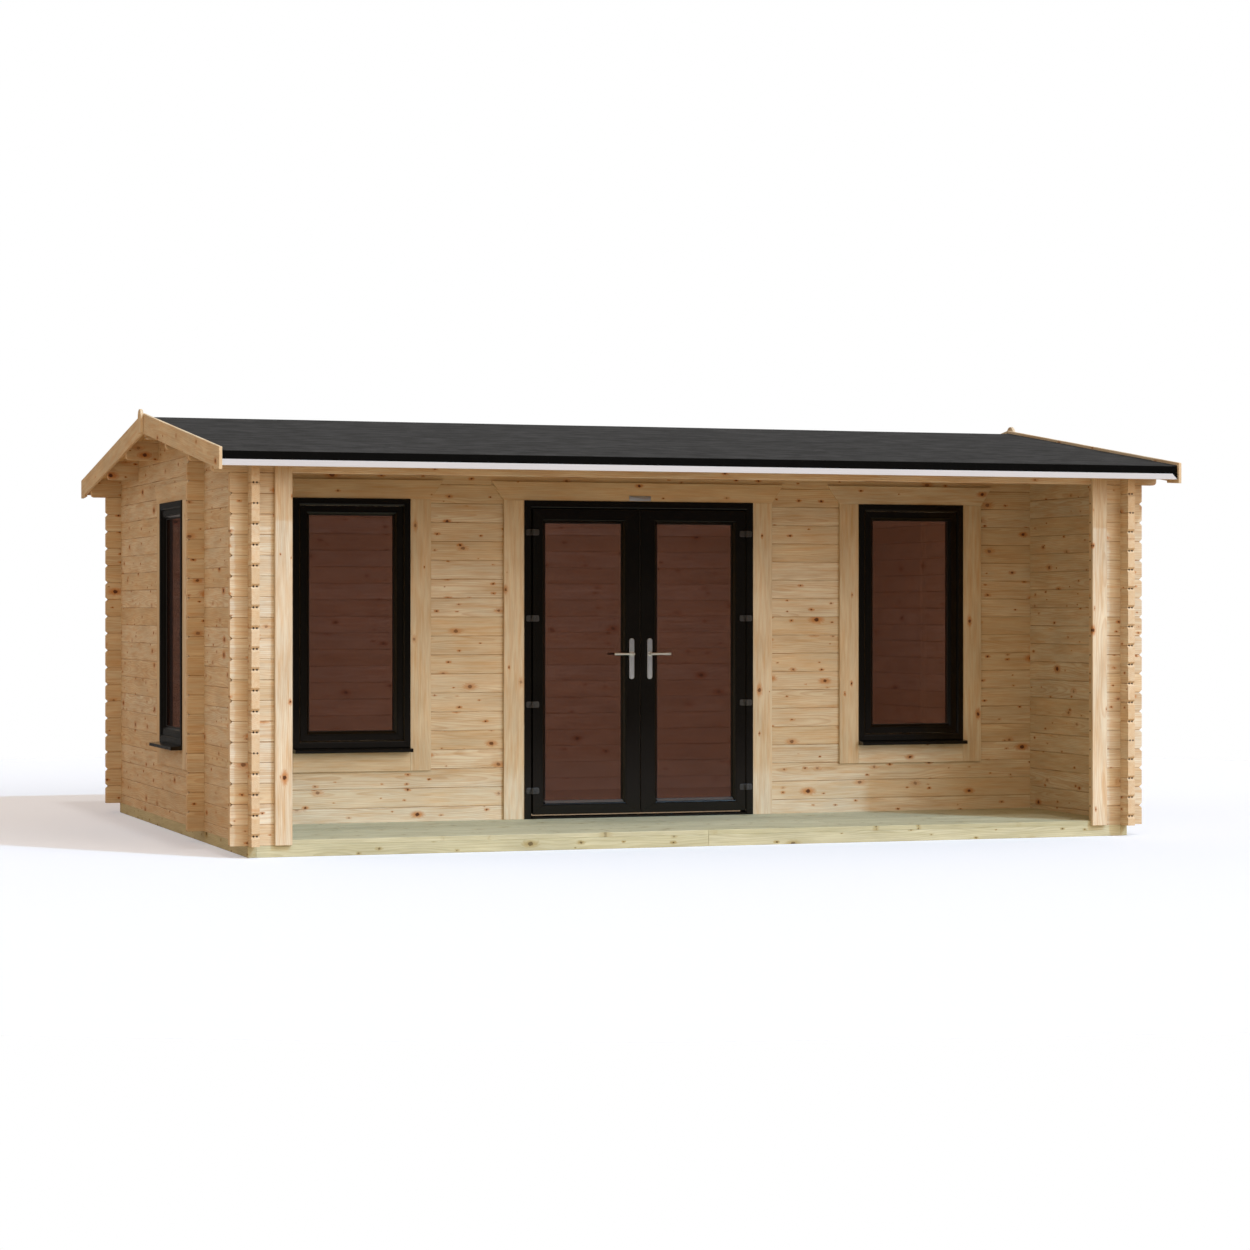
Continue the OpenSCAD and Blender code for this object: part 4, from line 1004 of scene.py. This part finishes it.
# webs reach from the plates to the knuckles
leafWeb = roundedRectangle(-near - hingeSet["web"], half + 0.0006, -0.0035, tall - 0.0006, (0.001,) * 4)
frameWeb = roundedRectangle(0.0035, 0.0006, near + hingeSet["web"], half - 0.0006, (0.001,) * 4)
sleeve = [(bore, half + seam), (r - 0.0008, half + seam), (r, half + 0.0012), (r, tall - 0.002),
          (r - 0.002, tall - 0.0002), (bore, tall - 0.0002), (bore, half + seam)]
pinned = [(0, 0.0002), (r - 0.002, 0.0002), (r, 0.002), (r, half - 0.0012), (r - 0.0008, half - seam),
          (pin, half - seam), (pin, top), (0, top)]
for side, word in ((1, "right"), (-1, "left")):
    for owner, plate, web, capX, turning, body, stands in (
            ("Door", leafPlate, leafWeb, -near - 0.0225, sleeve, word + "_door", [word + "_door_hinges"]),
            ("Frame", framePlate, frameWeb, near + 0.02, pinned, "root", ["frame_hinges"])):
        shapes, knuckles = [], []
        for i in range(hingeSet["count"]):
            foot = hingeLow.z + i * hingeStep
            lay = layOn(Vector((side * axisX, frameLow.y, foot)), axes["x"] * side, front)
            shapes += [(plate, lay, 0.0002, hingeSet["plate"]), (web, lay, 0.0008, hingeSet["out"])]
            for z in (hingeSet["capFromEnd"], tall - hingeSet["capFromEnd"]):
                button = roundedRectangle(capX - cap, z - cap, capX + cap, z + cap, (cap,) * 4)
                shapes.append((button, lay, hingeSet["plate"] - 0.0003, capTop))
            pinFoot = Vector((side * axisX, frameLow.y - hingeSet["out"], foot))
            knuckles.append(turned(turning, pinFoot, axes["z"]))
        softBlock(word + owner + "HingeLeaves", shapes, hingePaint, body, stands,
                  hingeSet["edge"])
        joinery(word + owner + "Knuckles", knuckles, hingePaint, body)

# Handles: a plate, a collar and a lever on each side of a door. A lever's neck turns into a round bar,
# which narrows and swells again.
handleSet = {"width": 0.033, "plate": 0.009, "edge": 0.003, "neck": 0.0078, "out": 0.046, "bar": 0.0088,
             "length": 0.118, "tip": 0.006, "waist": 0.0016, "collar": 0.0142}
p, n, r, length = handleSet["plate"], handleSet["neck"], handleSet["bar"], handleSet["length"]
collar, half, tip = handleSet["collar"], handleSet["width"] / 2, handleSet["tip"]
collarOutline = [(n + 0.0008, p - 0.0005), (collar, p - 0.0005), (collar, p + 0.0012),
                 (collar - 0.0012, p + 0.0024), (n + 0.0016, p + 0.0028), (n + 0.0008, p + 0.0022),
                 (n + 0.0008, p - 0.0005)]
neckOutline = [(0, p + 0.0003), (n, p + 0.0003), (n, handleSet["out"] - 0.003), (0, handleSet["out"])]
quarter = [math.pi / 2 * k / 6 for k in range(1, 7)]
barOutline = [(0, -r)] + [(r * math.sin(turn), -r * math.cos(turn)) for turn in quarter]
for t in (k / 12 for k in range(1, 13)):
    barOutline.append((r - handleSet["waist"] * math.sin(math.pi * min(1, t * 1.05)) ** 1.4, length * t))
barOutline += [(max(0, r * math.cos(turn)), length + tip * math.sin(turn)) for turn in quarter]
for side, word in ((1, "right"), (-1, "left")):
    low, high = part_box(word + "_handle_plates")
    middle = (low.x + high.x) / 2
    leverZ = sum(corner.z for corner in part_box(word + "_lever")) / 2
    plates, collars, levers = [], [], []
    for out, face in ((front, frameLow.y), (-front, frameLow.y + doorSet["thickness"])):
        lay = layOn(Vector((middle, face, 0)), axes["x"], out)
        outline = roundedRectangle(-half, low.z, half, high.z, (half - 0.0002,) * 4, 10)
        plates.append((outline, lay, 0.0002, p))
        root = Vector((middle, face, leverZ))
        collars.append(turned(collarOutline, root, out, 40))
        levers.append(turned(neckOutline, root, out))
        levers.append(turned(barOutline, root + out * handleSet["out"], axes["x"] * side))
    body, lever = word + "_door", word + "_lever"
    softBlock(word + "HandlePlates", plates, plateSteel, body, [word + "_handle_plates"],
              handleSet["edge"], 4)
    kinds = (("HandleCollars", collars, body, []), ("LeverPair", levers, lever, [lever]))
    for name, parts, carrier, stands in kinds:
        piece = joinery(word + name, parts, leverSteel, carrier, stands)
        piece.data.shade_smooth()
        piece.data.set_sharp_from_angle(angle=sharpAngle)

blankSet = {"corner": 0.002, "edge": 0.001}
low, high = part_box("blank_plate")
outline = roundedRectangle(low.x, low.z, high.x, high.z, (blankSet["corner"],) * 4, 4)
softBlock("blankPlate", [(outline, layOn(Vector((0, high.y, 0)), axes["x"], front), 0.0002, high.y - low.y)],
          plateMetal, "root", ["blank_plate"], blankSet["edge"], 2)
print("hardware made")


cameraSet = {"place": (-6.1772, -18.7065, 1.3353), "turn": 18.80, "lens": 90.33, "shift": -0.01152,
             "sensor": 36, "reach": 400}
camera = newPiece("camera", bpy.data.cameras.new("camera"))
bpy.context.scene.camera = camera
camera.location = cameraSet["place"]
camera.rotation_euler = (math.radians(90), 0, math.radians(-cameraSet["turn"]))
camera.data.lens = cameraSet["lens"]
camera.data.sensor_width = cameraSet["sensor"]
camera.data.shift_y = cameraSet["shift"]
camera.data.clip_end = cameraSet["reach"]

# Lamps: bearing from straight in front towards the right, height, strength, softness, colour, and whether
# it is mirrored. The wide soft ones aren't, so that they leave no sheen on black plastic and glass.
lampSet = {
    "keyLight": (37, 44, 1.5, 1.6, "#AEDBFF", True),
    "fillLight": (32, 20, 1.45, 42, "#F2F4F6", False),
    "frontLight": (-12, 34, 0.42, 60, "#FFEBCC", False),
    "leftLight": (-115, 28, 0.18, 50, "#A9D8FF", False),
    "highLight": (0, 65, 0.4, 4, "#FFFFFF", True),
}
for name, (bearing, height, strength, softness, colour, mirrored) in lampSet.items():
    lamp = newPiece(name, bpy.data.lights.new(name, "SUN"))
    lamp.data.energy = strength
    lamp.data.angle = math.radians(softness)
    lamp.data.color = srgb(colour)[:3]
    lamp.visible_glossy = mirrored
    bearing, height = math.radians(bearing), math.radians(height)
    towards = Vector((math.sin(bearing) * math.cos(height), -math.cos(bearing) * math.cos(height),
                      math.sin(height)))
    lamp.rotation_euler = towards.to_track_quat("Z", "Y").to_euler()

# a soft lamp panel behind the front wall shows the room's logs through the brown glass
roomLampSet = {"width": 4.6, "height": 1.6, "watts": 75, "behind": 0.25, "up": 1.2}
roomLamp = newPiece("roomLamp", bpy.data.lights.new("roomLamp", "AREA"))
roomLamp.data.shape = "RECTANGLE"
roomLamp.data.size, roomLamp.data.size_y = roomLampSet["width"], roomLampSet["height"]
roomLamp.data.energy = roomLampSet["watts"]
roomLamp.location = (0, frontWall + roomLampSet["behind"], roomLampSet["up"])
roomLamp.rotation_euler = (math.radians(90), 0, 0)

world = bpy.data.worlds.new("studio")
world.use_nodes = True
bpy.context.scene.world = world
sky = world.node_tree
sky.nodes.clear()
path = addNode(sky, "LightPath")
seen = addNode(sky, "Math", {0: path.outputs["Is Camera Ray"], 1: path.outputs["Is Transmission Ray"]},
               operation="MAXIMUM")
ambient = addNode(sky, "Background", {"Color": srgb("#FFD9AE"), "Strength": 0.56})
backdrop = addNode(sky, "Background", {"Color": (1, 1, 1, 1), "Strength": 1.0})
# for reflections the studio is dark along the ground and bright overhead
spot = addNode(sky, "TexCoord")
aim = addNode(sky, "SeparateXYZ", {0: spot.outputs["Generated"]})
glowing = addNode(sky, "MapRange", {0: aim.outputs["Z"], 1: 0.12, 2: 0.6, 3: 0.06, 4: 1.1},
                  interpolation_type="SMOOTHSTEP")
mirrored = addNode(sky, "Background", {"Color": srgb("#FFF9F0"), "Strength": glowing})
mixed = addNode(sky, "MixShader", {0: path.outputs["Is Glossy Ray"], 1: ambient, 2: mirrored})
mixed = addNode(sky, "MixShader", {0: seen, 1: mixed, 2: backdrop})
addNode(sky, "OutputWorld", {0: mixed})

# a round studio floor; past its edge the backdrop is as white as it is
groundSet = {"radius": 10, "steps": 64}
turns = [2 * math.pi * k / groundSet["steps"] for k in range(groundSet["steps"])]
rim = [(groundSet["radius"] * math.cos(turn), groundSet["radius"] * math.sin(turn), 0) for turn in turns]
ground = meshPiece("ground", rim, [tuple(range(groundSet["steps"]))])
# Painted board, matt: it gives back a warm half of the light, is mirrored as a plain grey, and is seen
# brighter than that, so that it turns white
material, tree, shader = newMaterial("paleFloor")
tree.nodes.remove(shader)
path = addNode(tree, "LightPath")
bounce = addNode(tree, "BsdfDiffuse", {"Color": srgb("#D0B48F")})
seenFloor = addNode(tree, "BsdfDiffuse", {"Color": srgb("#E9EBEE")})
glow = addNode(tree, "Emission", {"Color": srgb("#C4E0FF"), "Strength": 0.28})
lifted = addNode(tree, "AddShader", {0: seenFloor, 1: glow})
mirroredFloor = addNode(tree, "BsdfDiffuse", {"Color": srgb("#BBB9B8")})
mixed = addNode(tree, "MixShader", {0: path.outputs["Is Glossy Ray"], 1: bounce, 2: mirroredFloor})
mixed = addNode(tree, "MixShader", {0: path.outputs["Is Camera Ray"], 1: mixed, 2: lifted})
tree.links.new(mixed.outputs[0], tree.nodes["Material Output"].inputs["Surface"])
ground.data.materials.append(material)

bpy.context.scene.view_settings.view_transform = "Standard"
print("camera and light set")
